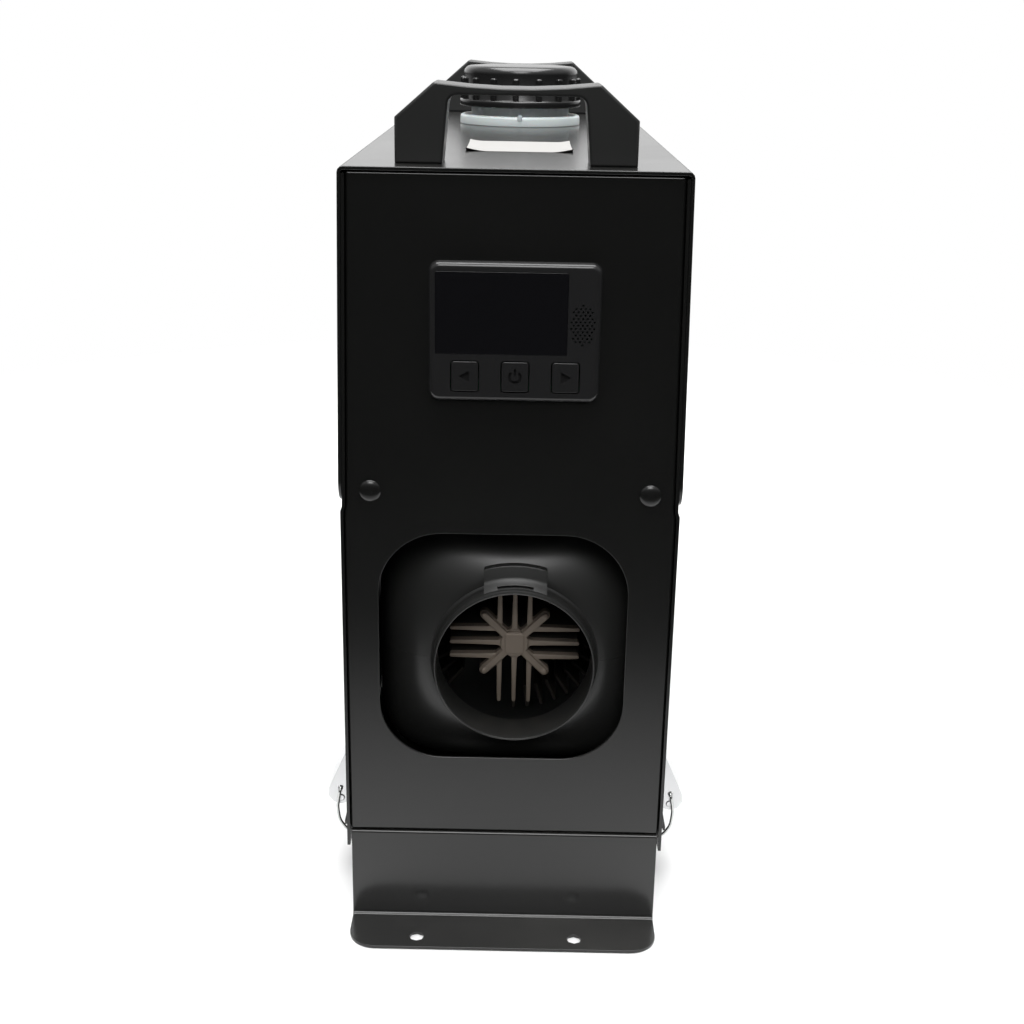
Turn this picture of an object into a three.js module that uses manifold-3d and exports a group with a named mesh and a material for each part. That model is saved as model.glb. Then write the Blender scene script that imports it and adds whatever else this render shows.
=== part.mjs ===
// Portable diesel air heater with its own tank, all in one narrow steel case on a bolt-down base.
// Millimetres, +Z up. The front faces -Y. The origin is on the floor, below the middle of the case.
import * as THREE from "three";
import { mergeVertices } from "three/addons/utils/BufferGeometryUtils.js";
import Module from "manifold-3d";

const wasm = await Module();
wasm.setup();

// Facets round a full turn
const FINE = 30;
const ROUND = 18;
const SMALL = 8;

// ---------------------------------------------------------------- driving sizes

// Clearances
const SEAT_GAP = 0.3; // between a piece and what carries it
const FIT_GAP = 0.3; // round a piece that passes through a hole
const GROMMET_GAP = 1.6; // round a hose or harness that passes through sheet
const LAP_GAP = 0.1; // between the cover's skirts and the side panels

// Case
const CASE_LENGTH = 440;
const CASE_WIDTH = 150;
const CASE_TOP = 357.3;
const SIDE_SHEET = 1.4;
const SIDE_LOW_EDGE = 40;
const SIDE_STEP_Z = 208.5; // height where the side panels step in behind the cover
const SIDE_STEP_HEIGHT = 2;
const SIDE_STEP_IN = 0.8;
const SIDE_LEAN = 2.5; // how far the sides lean in from the step to the top
const STRIP_WIDTH = 12; // welded strip inside each side panel, behind the panel's edge
const COVER_SHEET = 1.6;
const COVER_SKIRT_Z = 211;
const SKIRT_CORNER = 12;
const COVER_BEND = 1;
const PANEL_SHEET = 1.4;
const PANEL_RECESS = 1; // panel face behind the case's rim
const PANEL_GROOVE = 0.3; // between the side panel and the panel's folded edge
const PANEL_BOTTOM = 48.5;
const PANEL_RETURN = 10;
const PANEL_EDGE = 0.8; // rounded fold round the panel
const OPENING_X = -2.4; // front panel's opening; the rear one is centred on the unit
const OPENING_Z = 143;
const OPENING_WIDTH = 112.5;
const OPENING_HEIGHT = 111;
const OPENING_CORNER = 29;
const SHELF_Z = 210; // top of the shelf between tank and burner
const SHELF_FLANGE = 16;
const FLOOR_SHEET = 1.4;

// Base bracket
const BASE_INSET = 2; // side walls behind the side panels' outer faces
const BASE_SHEET = 1.5;
const BASE_HEIGHT = 47.7;
const BASE_SKIRT_Z = 17.5; // lower edge of the base's side walls
const BASE_BEND = 2; // inner radius where the flanges turn out
const BASE_FOLD = 0.2; // inner radius along the top
const FLANGE_REACH = 26.4;
const FLANGE_CORNER = 13;
const FLANGE_HOLE = 7;
const FLANGE_HOLE_IN = 18; // from the base's front wall
const FLANGE_HOLES_X = [-40.8, 34.1];
const BASE_WINDOW = [106, 140]; // opening for the pipes, X and Y

// Rivets
const RIVET_HEAD = 10;
const RIVET_HEIGHT = 1.9;
const RIVET_SHANK = 4.8;
const RIVET_INSET = 13.3; // from the case's side
const RIVET_Z = 218;

// Handles
const HANDLE_INSET = 16; // front face behind the case's rim
const HANDLE_DEPTH = 22;
const HANDLE_HALF_FOOT = 51;
const HANDLE_HALF_INNER = 31;
const HANDLE_HALF_TOP = 34.7;
const HANDLE_SHOULDER = 18.7;
const HANDLE_HEIGHT = 33;
const GRIP_THICK = 5.1;
const GRIP_SAG = 2;
const HANDLE_EDGE = 0.8;
const HANDLE_ROUND = 5; // rounding at the ends of the gap below the grip
const HANDLE_CORNER = 1; // rounding at the ends of the grip
const HANDLE_TAPER = 2; // how far each leg leans in towards the grip
const SCREW_SHANK = 6;
const SCREW_BITE = 12;
const STRAP_SIZE = [98, 16, 2]; // steel strap under the cover that holds a handle's two screws

// Tank, neck and cap
const TANK_SIDE_GAP = 9.6; // between the tank and each side panel's inner face
const TANK_FRONT = -165;
const TANK_BACK = 150;
const TANK_HEAD_GAP = 13.7; // between the tank's top and the cover
const TANK_WALL = 3;
const TANK_CORNER = 12;
const NECK_X = 0.4;
const NECK_Y = 70;
const NECK_RADIUS = 29;
const NECK_WALL = 4;
const NECK_RISE = 25.7; // above the case's top
const COLLAR_RADIUS = 35.5;
const COLLAR_HEIGHT = 5.5;
const GASKET_THICK = 2;
const CAP_RADIUS = 35.8;
const CAP_GRIP_RADIUS = 33.6;
const CAP_SKIRT_RISE = 10.2; // above the case's top
const CAP_SKIRT_HEIGHT = 4;
const CAP_LID = 5.4;
const CAP_EDGE = 4; // rounding between the grip and the top
const CAP_THREAD_GAP = 0.6;
const CAP_RIBS = 16;
const CAP_RIB_WIDTH = 4;
const CAP_RIB_TURN = 7; // degrees that the ribs are turned round the cap

// Fuel system
const LINE_RADIUS = 3;
const OUTLET_INSET = 19; // from the tank's side
const OUTLET_Z = 226;
const OUTLET_REACH = 15;
const BARB_RADIUS = 4;
const PUMP_INSET = 37; // from the case's side
const DELIVERY_INSET = 15; // the line down to the burner, from the case's side
const PUMP_Y = 186;
const PUMP_RADIUS = 13.5;
const PUMP_LOW = 250;
const PUMP_HIGH = 326;
const PUMP_BARB = 10;
const MOUNT_LOW = 276;
const MOUNT_HIGH = 300;
const MOUNT_WALL = 4;

// Burner unit
const AXIS_X = 3.1;
const AXIS_Z = 134;
const SHELL_SIDE_ROOM = 15; // from the blower housing out to the shell's outer face
const SHELL_TOP_ROOM = 13;
const SHELL_WALL = 2.5;
const SHELL_FRONT = -209;
const SHELL_BACK = 178;
const MOUTH_ROOM = 6; // round inlet at the shell's back, outside the housing's radius
const SHELL_NOSE = 40;
const SHELL_DOME = 36; // length of the domed front
const DOME_START = 0.2; // radians that the dome already leans at its nose
const DOME_STEPS = 5;
const SHELL_SQUARE = 5; // squareness of the shell's section behind the dome
const RING_RADIUS = 37.5;
const RING_WALL = 1.5;
const RING_FRONT = -219.5;
const RING_BACK = -199.4;
const RING_LIP = 2;
const TAB_WIDTH = 30;
const TAB_TOP = 45;
const TAB_FRONT = -212.5;
const TAB_SLOT = 18;
const TAB_SLOT_HIGH = 1.4;
const TAB_SLOT_DROP = 4;
const CORE_DEPTH = 10; // core under the housing's radius
const CORE_SKIN = 6;
const FIN_RISE = 1; // fin tips outside the housing's radius
const CORE_FRONT = -160;
const CORE_WALL = 10;
const CORE_BACK = 20;
const CORE_COLLAR = 24;
const FIN_THICK = 2;
const FIN_COUNT = 24;
const CROSS_FRONT = -192;
const CROSS_BOSS = 14;
const CROSS_PITCH = 7.5;
const CROSS_REACH = 31;
const CROSS_FIN = 2.2;
const CROSS_RIB = 4;
const CROSS_RIB_REACH = 22;
const FOOT_SIZE = [90, 110]; // flange of the cast foot, X and Y
const FOOT_Y = -15;
const FOOT_THICK = 6;
const FOOT_CORNER = 6;
const FOOT_COLUMN = [60, 70];
const UNIT_GASKET = 3;
const STUB_RADIUS = 12;
const STUB_WALL = 1.2;
const STUB_END_Z = 12;
const EXHAUST_X = -12;
const EXHAUST_Y = -35;
const INTAKE_X = 20;
const INTAKE_Y = 5;
const BOLT_SHANK = 6;
const BOLT_INSET = 7;
const STUD_REACH = 8; // below the case floor, for the nut
const BURNER_RADIUS = 28;
const BURNER_WALL = 1.5;
const BURNER_FRONT = -120;
const FLANGE_THICK = 3;
const HOUSING_RADIUS = 50;
const HOUSING_WALL = 4;
const HOUSING_BACK = 58;
const MOTOR_RADIUS = 26;
const MOTOR_BACK = 108;
const MOTOR_EDGE = 4;
const SHAFT_RADIUS = 3;
const SHAFT_FRONT = 31;
const SHAFT_BACK = 160;
const WHEEL_RADIUS = 38;
const WHEEL_FRONT = 36;
const WHEEL_DEPTH = 10;
const WHEEL_VANES = 12;
const WHEEL_VANE = 1.6;
const WHEEL_DISC = 2;
const WHEEL_HUB = 9;
const FAN_HUB = 16;
const FAN_TIP_GAP = 6; // inside the shell's round inlet
const FAN_FRONT = 128;
const FAN_DEPTH = 26;
const FAN_BLADES = 7;
const GUARD_DEPTH = 6;
const GUARD_BAR = 3;

// Electrics
const PCB_SIZE = [56, 74]; // burner's control board, X and Y
const PCB_THICK = 1.6;
const PCB_Y = 80;
const PCB_LEG = 4;
const SENSOR_SIZE = [14, 9, 6];
const PLUG_RADIUS = 4;
const PLUG_X = 17;
const PLUG_Y = 8;
const PLUG_RISE = 2; // above the housing's top
const HARNESS_RADIUS = 2.5;
const INLET_INSET = 35; // from the case's side
const INLET_Z = 240;
const INLET_RADIUS = 9;

// Controller
const CTRL_X = 0.7;
const CTRL_Z = 289.9;
const CTRL_WIDTH = 73;
const CTRL_HEIGHT = 59.5;
const CTRL_PROUD = 3.5;
const CTRL_CORNER = 5.5;
const CTRL_EDGE = 1;
const CTRL_LIP = 1.5; // how far the bezel's face laps over the cut-out
const CTRL_DEPTH = 14;
const CTRL_WALL = 1;
const LENS_X = [-33, 23];
const LENS_Z = [280.5, 315.6];
const LENS_THICK = 1.1;
const LENS_LEDGE = 2;
const BUTTONS_X = [-20.3, 1.1, 22.6];
const BUTTON_Z = 271;
const BUTTON_WIDTH = 11;
const BUTTON_HEIGHT = 12.4;
const BUTTON_TRAVEL = 0.8;
const BUTTON_LIP = 0.8;
const SPEAKER_X = 29.3;
const SPEAKER_Z = 293.7;
const SPEAKER_RADIUS = 5.2;
const SPEAKER_HOLE = 0.5;
const SPEAKER_RINGS = 2;
const SPEAKER_PITCH = 2;
const BOARD_FRONT = -212;
const SWITCH_HIGH = 3.6;
const PLUG_HIGH = 6; // socket for the harness on the controller board's back

// Toggle latches: u is the way out from the side panel's face
const LATCH_Y = 165;
const LATCH_PIVOT_Z = 40.5;
const LATCH_PIVOT_U = 8.2;
const BAIL_PIVOT = [8.4, 5.7]; // u, and height over the lever's pivot
const LATCH_SHEET = 1.2;
const PLATE_HALF = 12;
const PLATE_HEIGHT = 33;
const EAR_HALF = 9.2;
const EAR_RADIUS = 3.5;
const PIN_RADIUS = 1.5;
const CHEEK_HALF = 11.2;
const WIRE_RADIUS = 1;
const WIRE_HALF = 13;
const BAR = [3.2, -17.7]; // the bail's bottom bar: u, and height over the lever's pivot
const CATCH_HALF = 8;
const CATCH_TOP = 30;
const CATCH_LIP = 7.2;
const CATCH_DOWNTURN = 1.1;

// ---------------------------------------------------------------- worked out from them

const RIVET_X = CASE_WIDTH / 2 - RIVET_INSET;
const PUMP_X = PUMP_INSET - CASE_WIDTH / 2;
const DELIVERY_X = DELIVERY_INSET - CASE_WIDTH / 2;
const INLET_X = CASE_WIDTH / 2 - INLET_INSET;
const TANK_WIDTH = CASE_WIDTH - 2 * (SIDE_SHEET + TANK_SIDE_GAP);
const BASE_WIDTH = CASE_WIDTH - 2 * BASE_INSET;
const SHELL_HALF_WIDTH = HOUSING_RADIUS + SHELL_SIDE_ROOM;
const SHELL_HALF_HEIGHT = HOUSING_RADIUS + SHELL_TOP_ROOM;
const SHELL_MOUTH = HOUSING_RADIUS + MOUTH_ROOM;
const FAN_RADIUS = SHELL_MOUTH - FAN_TIP_GAP;
const CORE_RADIUS = HOUSING_RADIUS - CORE_DEPTH;
const CORE_BORE = CORE_RADIUS - CORE_SKIN;
const FIN_RADIUS = HOUSING_RADIUS + FIN_RISE;
const OUTLET_X = TANK_WIDTH / 2 - OUTLET_INSET;
const PLUG_TOP = AXIS_Z + HOUSING_RADIUS + PLUG_RISE;
const FRONT = -CASE_LENGTH / 2;
const BACK = CASE_LENGTH / 2;
const PANEL_FACE = FRONT + PANEL_RECESS;
const PANEL_REAR = PANEL_FACE + PANEL_SHEET;
const FLOOR_TOP = BASE_HEIGHT + FLOOR_SHEET;
const COVER_UNDER = CASE_TOP - COVER_SHEET;
const PANEL_TOP = COVER_UNDER - SEAT_GAP;
const SIDE_TOP = COVER_UNDER - COVER_BEND - SEAT_GAP;
const SHELF_UNDER = SHELF_Z - SIDE_SHEET;
const TANK_BOTTOM = SHELF_Z + SEAT_GAP;
const TANK_TOP = COVER_UNDER - TANK_HEAD_GAP;
const NECK_TOP = CASE_TOP + NECK_RISE;
const CAP_SKIRT_Z = CASE_TOP + CAP_SKIRT_RISE;
const BASE_FRONT = FRONT + PANEL_RECESS;
const FOOT_BOTTOM = FLOOR_TOP + UNIT_GASKET;
const FOOT_TOP = FOOT_BOTTOM + FOOT_THICK;
const HOUSING_FRONT = CORE_BACK + FLANGE_THICK + SEAT_GAP;
const MOTOR_FRONT = HOUSING_BACK + SEAT_GAP;
const CTRL_FACE = PANEL_FACE - CTRL_PROUD;
const CTRL_BACK = PANEL_FACE + CTRL_DEPTH;
const SWITCH_FRONT = BOARD_FRONT - SWITCH_HIGH;
const GASKET_BOTTOM = NECK_TOP + SEAT_GAP;
const CAP_CEILING = GASKET_BOTTOM + GASKET_THICK + SEAT_GAP;
const CAP_TOP = CAP_CEILING + CAP_LID;
const PCB_BOTTOM = AXIS_Z + HOUSING_RADIUS + PCB_LEG;

// ---------------------------------------------------------------- geometry helpers

const ALONG_X = new THREE.Matrix4().makeBasis(
  new THREE.Vector3(0, 1, 0),
  new THREE.Vector3(0, 0, 1),
  new THREE.Vector3(1, 0, 0),
);
const ALONG_Y = new THREE.Matrix4().makeBasis(
  new THREE.Vector3(1, 0, 0),
  new THREE.Vector3(0, 0, 1),
  new THREE.Vector3(0, -1, 0),
);

function signedVolume(positions, indices) {
  const corner = (k) => new THREE.Vector3().fromArray(positions, indices[k] * 3);
  let volume = 0;
  for (let k = 0; k < indices.length; k += 3) {
    volume += corner(k).dot(corner(k + 1).cross(corner(k + 2))) / 6;
  }
  return volume;
}

function toSolid(geometry) {
  const bare = geometry.clone();
  bare.deleteAttribute("normal");
  bare.deleteAttribute("uv");
  const merged = mergeVertices(bare, 1e-4);
  const vertProperties = new Float32Array(merged.getAttribute("position").array);
  const triVerts = new Uint32Array(merged.getIndex().array);
  if (signedVolume(vertProperties, triVerts) < 0) {
    triVerts.reverse();
  }
  return new wasm.Manifold(new wasm.Mesh({ numProp: 3, vertProperties, triVerts }));
}

function toGeometry(solid) {
  const mesh = solid.getMesh();
  const geometry = new THREE.BufferGeometry();
  geometry.setAttribute("position", new THREE.BufferAttribute(mesh.vertProperties, 3));
  geometry.setIndex(new THREE.BufferAttribute(mesh.triVerts, 1));
  geometry.computeVertexNormals();
  return geometry;
}

function join(...pieces) {
  return toGeometry(pieces.map(toSolid).reduce((whole, piece) => whole.add(piece)));
}

function cut(base, ...tools) {
  return toGeometry(tools.map(toSolid).reduce((left, tool) => left.subtract(tool), toSolid(base)));
}

function common(a, b) {
  return toGeometry(toSolid(a).intersect(toSolid(b)));
}

function moved(geometry, x, y, z, turn = 0) {
  return geometry.clone().rotateZ(turn).translate(x, y, z);
}

function box(x0, x1, y0, y1, z0, z1) {
  const geometry = new THREE.BoxGeometry(x1 - x0, y1 - y0, z1 - z0);
  return geometry.translate((x0 + x1) / 2, (y0 + y1) / 2, (z0 + z1) / 2);
}

function rodY(radius, y0, y1, x, z, sides = ROUND, endRadius = radius) {
  const geometry = new THREE.CylinderGeometry(endRadius, radius, y1 - y0, sides);
  return geometry.translate(x, (y0 + y1) / 2, z);
}

function rodZ(radius, z0, z1, x, y, sides = ROUND) {
  const geometry = new THREE.CylinderGeometry(radius, radius, z1 - z0, sides);
  return geometry.rotateX(Math.PI / 2).translate(x, y, (z0 + z1) / 2);
}

// A turned piece: the profile's points are [radius, height], and the turning axis is Y
function turnedY(profile, x, y, z, sides = FINE) {
  const points = profile.map(([radius, height]) => new THREE.Vector2(radius, height));
  return new THREE.LatheGeometry(points, sides).translate(x, y, z);
}

function turnedZ(profile, x, y, z, sides = FINE) {
  return turnedY(profile, 0, 0, 0, sides).rotateX(Math.PI / 2).translate(x, y, z);
}

// Round outline with teeth: ribs of a cap, or fins round a cylinder
function toothedShape(root, tip, count, width) {
  const points = [];
  for (let k = 0; k < count; k += 1) {
    const angle = (2 * Math.PI * (k + 0.5)) / count;
    const half = width / 2;
    for (const [reach, side] of [[root, -half], [tip, -half], [tip, half], [root, half]]) {
      const across = new THREE.Vector2(Math.sqrt(reach * reach - half * half), side);
      points.push(across.rotateAround(new THREE.Vector2(), angle));
    }
  }
  return new THREE.Shape(points);
}

function shapeOf(points) {
  return new THREE.Shape(points.map(([a, b]) => new THREE.Vector2(a, b)));
}

function roundedShape(a0, a1, b0, b1, radius) {
  const shape = new THREE.Shape();
  shape.absarc(a1 - radius, b0 + radius, radius, -Math.PI / 2, 0);
  shape.absarc(a1 - radius, b1 - radius, radius, 0, Math.PI / 2);
  shape.absarc(a0 + radius, b1 - radius, radius, Math.PI / 2, Math.PI);
  shape.absarc(a0 + radius, b0 + radius, radius, Math.PI, Math.PI * 1.5);
  return shape;
}

function centredShape(a, b, halfA, halfB, radius) {
  return roundedShape(a - halfA, a + halfA, b - halfB, b + halfB, radius);
}

function extrude(shape, depth, edge = 0, curveSegments = 4) {
  if (edge === 0) {
    return new THREE.ExtrudeGeometry(shape, { depth, bevelEnabled: false, curveSegments });
  }
  const geometry = new THREE.ExtrudeGeometry(shape, {
    depth: depth - 2 * edge,
    bevelThickness: edge,
    bevelSize: edge,
    bevelOffset: -edge,
    bevelSegments: 1,
    curveSegments,
  });
  return geometry.translate(0, 0, edge);
}

// Shape in Y and Z, extruded from x0 to x1
function extrudeX(shape, x0, x1, edge = 0) {
  return extrude(shape, x1 - x0, edge).applyMatrix4(ALONG_X).translate(x0, 0, 0);
}

// Shape in X and Z, extruded from y0 to y1
function extrudeY(shape, y0, y1, edge = 0, curveSegments = 4) {
  return extrude(shape, y1 - y0, edge, curveSegments).applyMatrix4(ALONG_Y).translate(0, y1, 0);
}

// Shape in X and Y, extruded from z0 to z1
function extrudeZ(shape, z0, z1, edge = 0) {
  return extrude(shape, z1 - z0, edge).translate(0, 0, z0);
}

// Outline of a bent sheet: a band along a middle line, with an arc at each bend
function sheetShape(middle, thickness, bends, arcSteps = 3) {
  const line = middle.map(([a, b]) => new THREE.Vector2(a, b));
  const rows = [];
  const addRow = (point, heading) => {
    const normal = new THREE.Vector2(-Math.sin(heading), Math.cos(heading));
    rows.push([point.clone().addScaledVector(normal, thickness / 2),
      point.clone().addScaledVector(normal, -thickness / 2)]);
  };
  const heading = (k) => line[k + 1].clone().sub(line[k]).angle();
  addRow(line[0], heading(0));
  for (let k = 1; k < line.length - 1; k += 1) {
    const before = heading(k - 1);
    const turn = THREE.MathUtils.euclideanModulo(heading(k) - before + Math.PI, 2 * Math.PI) - Math.PI;
    const radius = (Array.isArray(bends) ? bends[k - 1] : bends) + thickness / 2;
    const run = radius * Math.tan(Math.abs(turn) / 2);
    const along = new THREE.Vector2(Math.cos(before), Math.sin(before));
    const start = line[k].clone().addScaledVector(along, -run);
    const side = Math.sign(turn) * radius;
    const centre = start.clone().add(new THREE.Vector2(-Math.sin(before) * side, Math.cos(before) * side));
    for (let step = 0; step <= arcSteps; step += 1) {
      const angle = before + (turn * step) / arcSteps;
      addRow(centre.clone().add(new THREE.Vector2(Math.sin(angle) * side, -Math.cos(angle) * side)), angle);
    }
  }
  addRow(line[line.length - 1], heading(line.length - 2));
  return new THREE.Shape([...rows.map((row) => row[0]), ...rows.map((row) => row[1]).reverse()]);
}

// A closed skin through rings that all have the same number of points
function loft(rings) {
  const count = rings[0].length;
  const positions = rings.flat().flatMap((point) => point.toArray());
  const indices = [];
  for (let ring = 0; ring < rings.length - 1; ring += 1) {
    for (let k = 0; k < count; k += 1) {
      const here = ring * count + k;
      const next = ring * count + ((k + 1) % count);
      indices.push(here, next, next + count, here, next + count, here + count);
    }
  }
  const last = (rings.length - 1) * count;
  for (let k = 1; k < count - 1; k += 1) {
    indices.push(0, k + 1, k, last, last + k, last + k + 1);
  }
  const geometry = new THREE.BufferGeometry();
  geometry.setAttribute("position", new THREE.Float32BufferAttribute(positions, 3));
  geometry.setIndex(indices);
  return geometry;
}

function tube(points, radius, steps, sides = 6) {
  const path = new THREE.CatmullRomCurve3(points.map((point) => new THREE.Vector3(...point)));
  const ring = new THREE.Shape();
  ring.absarc(0, 0, radius, 0, 2 * Math.PI);
  return new THREE.ExtrudeGeometry(ring, { steps, curveSegments: sides / 2, extrudePath: path });
}

function sleeveY(outer, inner, y0, y1, x, z, sides = FINE) {
  return turnedY([[inner, y0], [outer, y0], [outer, y1], [inner, y1], [inner, y0]], x, 0, z, sides);
}

function sleeveZ(outer, inner, z0, z1, x, y, sides = ROUND) {
  return turnedZ([[inner, z0], [outer, z0], [outer, z1], [inner, z1], [inner, z0]], x, y, 0, sides);
}

// ---------------------------------------------------------------- the scene

const heater = new THREE.Group();

function material(color, roughness, metalness) {
  return new THREE.MeshStandardMaterial({ color, roughness, metalness });
}

function add(name, geometry, look, parent = heater) {
  const mesh = new THREE.Mesh(geometry, look);
  mesh.name = name;
  parent.add(mesh);
}

const blackPaint = () => material(0x1b1c1c, 0.45, 0.0);
const blackPlastic = () => material(0x202224, 0.5, 0.0);
const zincSteel = () => material(0xd8dcda, 0.3, 1.0);
const castAluminium = () => material(0x8c867c, 0.55, 1.0);
const blackRubber = () => material(0x181818, 0.85, 0.0);
const whitePlastic = () => material(0xd2d6d4, 0.5, 0.0);

// ---------------------------------------------------------------- base bracket

function baseBracket() {
  const catches = LATCHES.map((latch) => atLatch(latch, latchCatch()));
  const legY = -BASE_FRONT - BASE_SHEET / 2;
  const lipZ = BASE_SHEET / 2;
  const topZ = BASE_HEIGHT - BASE_SHEET / 2;
  const reach = -BASE_FRONT + FLANGE_REACH;
  const section = [[-reach, lipZ], [-legY, lipZ], [-legY, topZ], [legY, topZ], [legY, lipZ], [reach, lipZ]];
  const bends = [BASE_BEND, BASE_FOLD, BASE_FOLD, BASE_BEND];
  const strip = extrudeX(sheetShape(section, BASE_SHEET, bends), -BASE_WIDTH / 2, BASE_WIDTH / 2);
  const plan = roundedShape(-BASE_WIDTH / 2, BASE_WIDTH / 2, -reach, reach, FLANGE_CORNER);
  const trimmed = common(strip, extrudeZ(plan, -1, BASE_HEIGHT + 1));
  const walls = [-1, 1].map((side) => {
    const x = (side * (BASE_WIDTH - BASE_SHEET)) / 2;
    return box(x - BASE_SHEET / 2, x + BASE_SHEET / 2, -legY, legY, BASE_SKIRT_Z, topZ);
  });
  const window = box(
    AXIS_X - BASE_WINDOW[0] / 2, AXIS_X + BASE_WINDOW[0] / 2,
    FOOT_Y - BASE_WINDOW[1] / 2, FOOT_Y + BASE_WINDOW[1] / 2,
    BASE_HEIGHT - 2 * BASE_SHEET, BASE_HEIGHT + 1,
  );
  const holes = FLANGE_HOLES_X.flatMap((x) => [
    rodZ(FLANGE_HOLE / 2, -1, BASE_SHEET + 1, x, BASE_FRONT - FLANGE_HOLE_IN, SMALL),
    rodZ(FLANGE_HOLE / 2, -1, BASE_SHEET + 1, -x, -BASE_FRONT + FLANGE_HOLE_IN, SMALL),
  ]);
  return cut(join(trimmed, ...walls, ...catches), window, ...holes);
}

// ---------------------------------------------------------------- case

// Middle of the side panel's sheet at a height above the step
function sideMiddle(z) {
  const start = SIDE_STEP_Z + SIDE_STEP_HEIGHT;
  const lean = (SIDE_LEAN * (z - start)) / (SIDE_TOP - start);
  return CASE_WIDTH / 2 - SIDE_SHEET / 2 - SIDE_STEP_IN - lean;
}

// The inner face of the side panel, as corners from the bottom up
function sideInner(bottom, top, inset) {
  const low = CASE_WIDTH / 2 - SIDE_SHEET - inset;
  const above = (z) => sideMiddle(z) - SIDE_SHEET / 2 - inset;
  return [[low, bottom], [low, SIDE_STEP_Z],
    [above(SIDE_STEP_Z + SIDE_STEP_HEIGHT), SIDE_STEP_Z + SIDE_STEP_HEIGHT], [above(top), top]];
}

function sidePanelRight() {
  const low = (CASE_WIDTH - SIDE_SHEET) / 2;
  const middle = [[low, SIDE_LOW_EDGE], [low, SIDE_STEP_Z],
    [sideMiddle(SIDE_STEP_Z + SIDE_STEP_HEIGHT), SIDE_STEP_Z + SIDE_STEP_HEIGHT],
    [sideMiddle(SIDE_TOP), SIDE_TOP]];
  const skin = extrudeY(sheetShape(middle, SIDE_SHEET, COVER_BEND), FRONT, BACK);
  const edge = sideInner(FLOOR_TOP + SEAT_GAP, SIDE_TOP, -SIDE_SHEET / 2);
  const inner = edge.map(([x, z]) => [x - STRIP_WIDTH, z]).reverse();
  const strip = shapeOf([...edge, ...inner]);
  const depth = PANEL_FACE + PANEL_RETURN + SEAT_GAP;
  const front = extrudeY(strip, depth, depth + SIDE_SHEET);
  const rear = extrudeY(strip, -depth - SIDE_SHEET, -depth);
  return join(skin, front, rear);
}

// Folded tray that closes an end of the case, drawn for the front
function panelBlank() {
  const edge = sideInner(PANEL_BOTTOM, PANEL_TOP, PANEL_GROOVE);
  const outline = [...edge, ...edge.map(([x, z]) => [-x, z]).reverse()];
  const centreZ = (PANEL_BOTTOM + PANEL_TOP) / 2;
  const inward = ([x, z]) => [x - Math.sign(x) * PANEL_SHEET, z - Math.sign(z - centreZ) * PANEL_SHEET];
  const inside = edge.map(inward);
  inside[1] = [edge[1][0] - PANEL_SHEET, edge[1][1]];
  inside[2] = [edge[2][0] - PANEL_SHEET, edge[2][1]];
  const hollow = [...inside, ...inside.map(([x, z]) => [-x, z]).reverse()];
  const backRoom = PANEL_FACE + PANEL_RETURN;
  const block = extrudeY(shapeOf(outline), PANEL_FACE, backRoom + PANEL_EDGE, PANEL_EDGE);
  const room = extrudeY(shapeOf(hollow), PANEL_REAR, backRoom + 2 * PANEL_EDGE);
  const behind = box(-CASE_WIDTH, CASE_WIDTH, backRoom, backRoom + CASE_WIDTH, 0, CASE_TOP);
  return cut(block, room, behind);
}

function rivetHoles(face, depth) {
  const radius = (RIVET_SHANK + FIT_GAP) / 2;
  return [-RIVET_X, RIVET_X].map((x) => rodY(radius, face, face + depth, x, RIVET_Z, SMALL));
}

function opening(x, y0, y1) {
  const shape = centredShape(x, OPENING_Z, OPENING_WIDTH / 2, OPENING_HEIGHT / 2, OPENING_CORNER);
  return extrudeY(shape, y0, y1, 0, 8);
}

function controllerShape(inset) {
  return centredShape(CTRL_X, CTRL_Z, CTRL_WIDTH / 2 - inset, CTRL_HEIGHT / 2 - inset, CTRL_CORNER - inset);
}

function controllerBody(shrink, y0, y1) {
  return extrudeY(controllerShape(CTRL_LIP + shrink), y0, y1);
}

function frontPanel() {
  return cut(
    panelBlank(),
    opening(OPENING_X, PANEL_FACE - 1, PANEL_REAR + 1),
    controllerBody(-FIT_GAP, PANEL_FACE - 1, PANEL_REAR + 1),
    ...rivetHoles(PANEL_FACE - 1, PANEL_SHEET + 2),
  );
}

function rearPanel() {
  return cut(
    panelBlank().rotateZ(Math.PI),
    opening(AXIS_X, -PANEL_REAR - 1, -PANEL_FACE + 1),
    rodY(INLET_RADIUS + FIT_GAP, -PANEL_REAR - 1, -PANEL_FACE + 1, INLET_X, INLET_Z),
    ...rivetHoles(-PANEL_REAR - 1, PANEL_SHEET + 2),
  );
}

function coverMiddle(z) {
  return sideMiddle(z) + SIDE_SHEET / 2 + LAP_GAP + COVER_SHEET / 2;
}

const HANDLE_MIDDLE_Y = FRONT + HANDLE_INSET + HANDLE_DEPTH / 2;
const HANDLE_FOOT_X = (HANDLE_HALF_FOOT + HANDLE_HALF_INNER) / 2;

function handleScrewPlaces() {
  return [-1, 1].flatMap((end) => [-1, 1].map((side) => [side * HANDLE_FOOT_X, end * HANDLE_MIDDLE_Y]));
}

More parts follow.
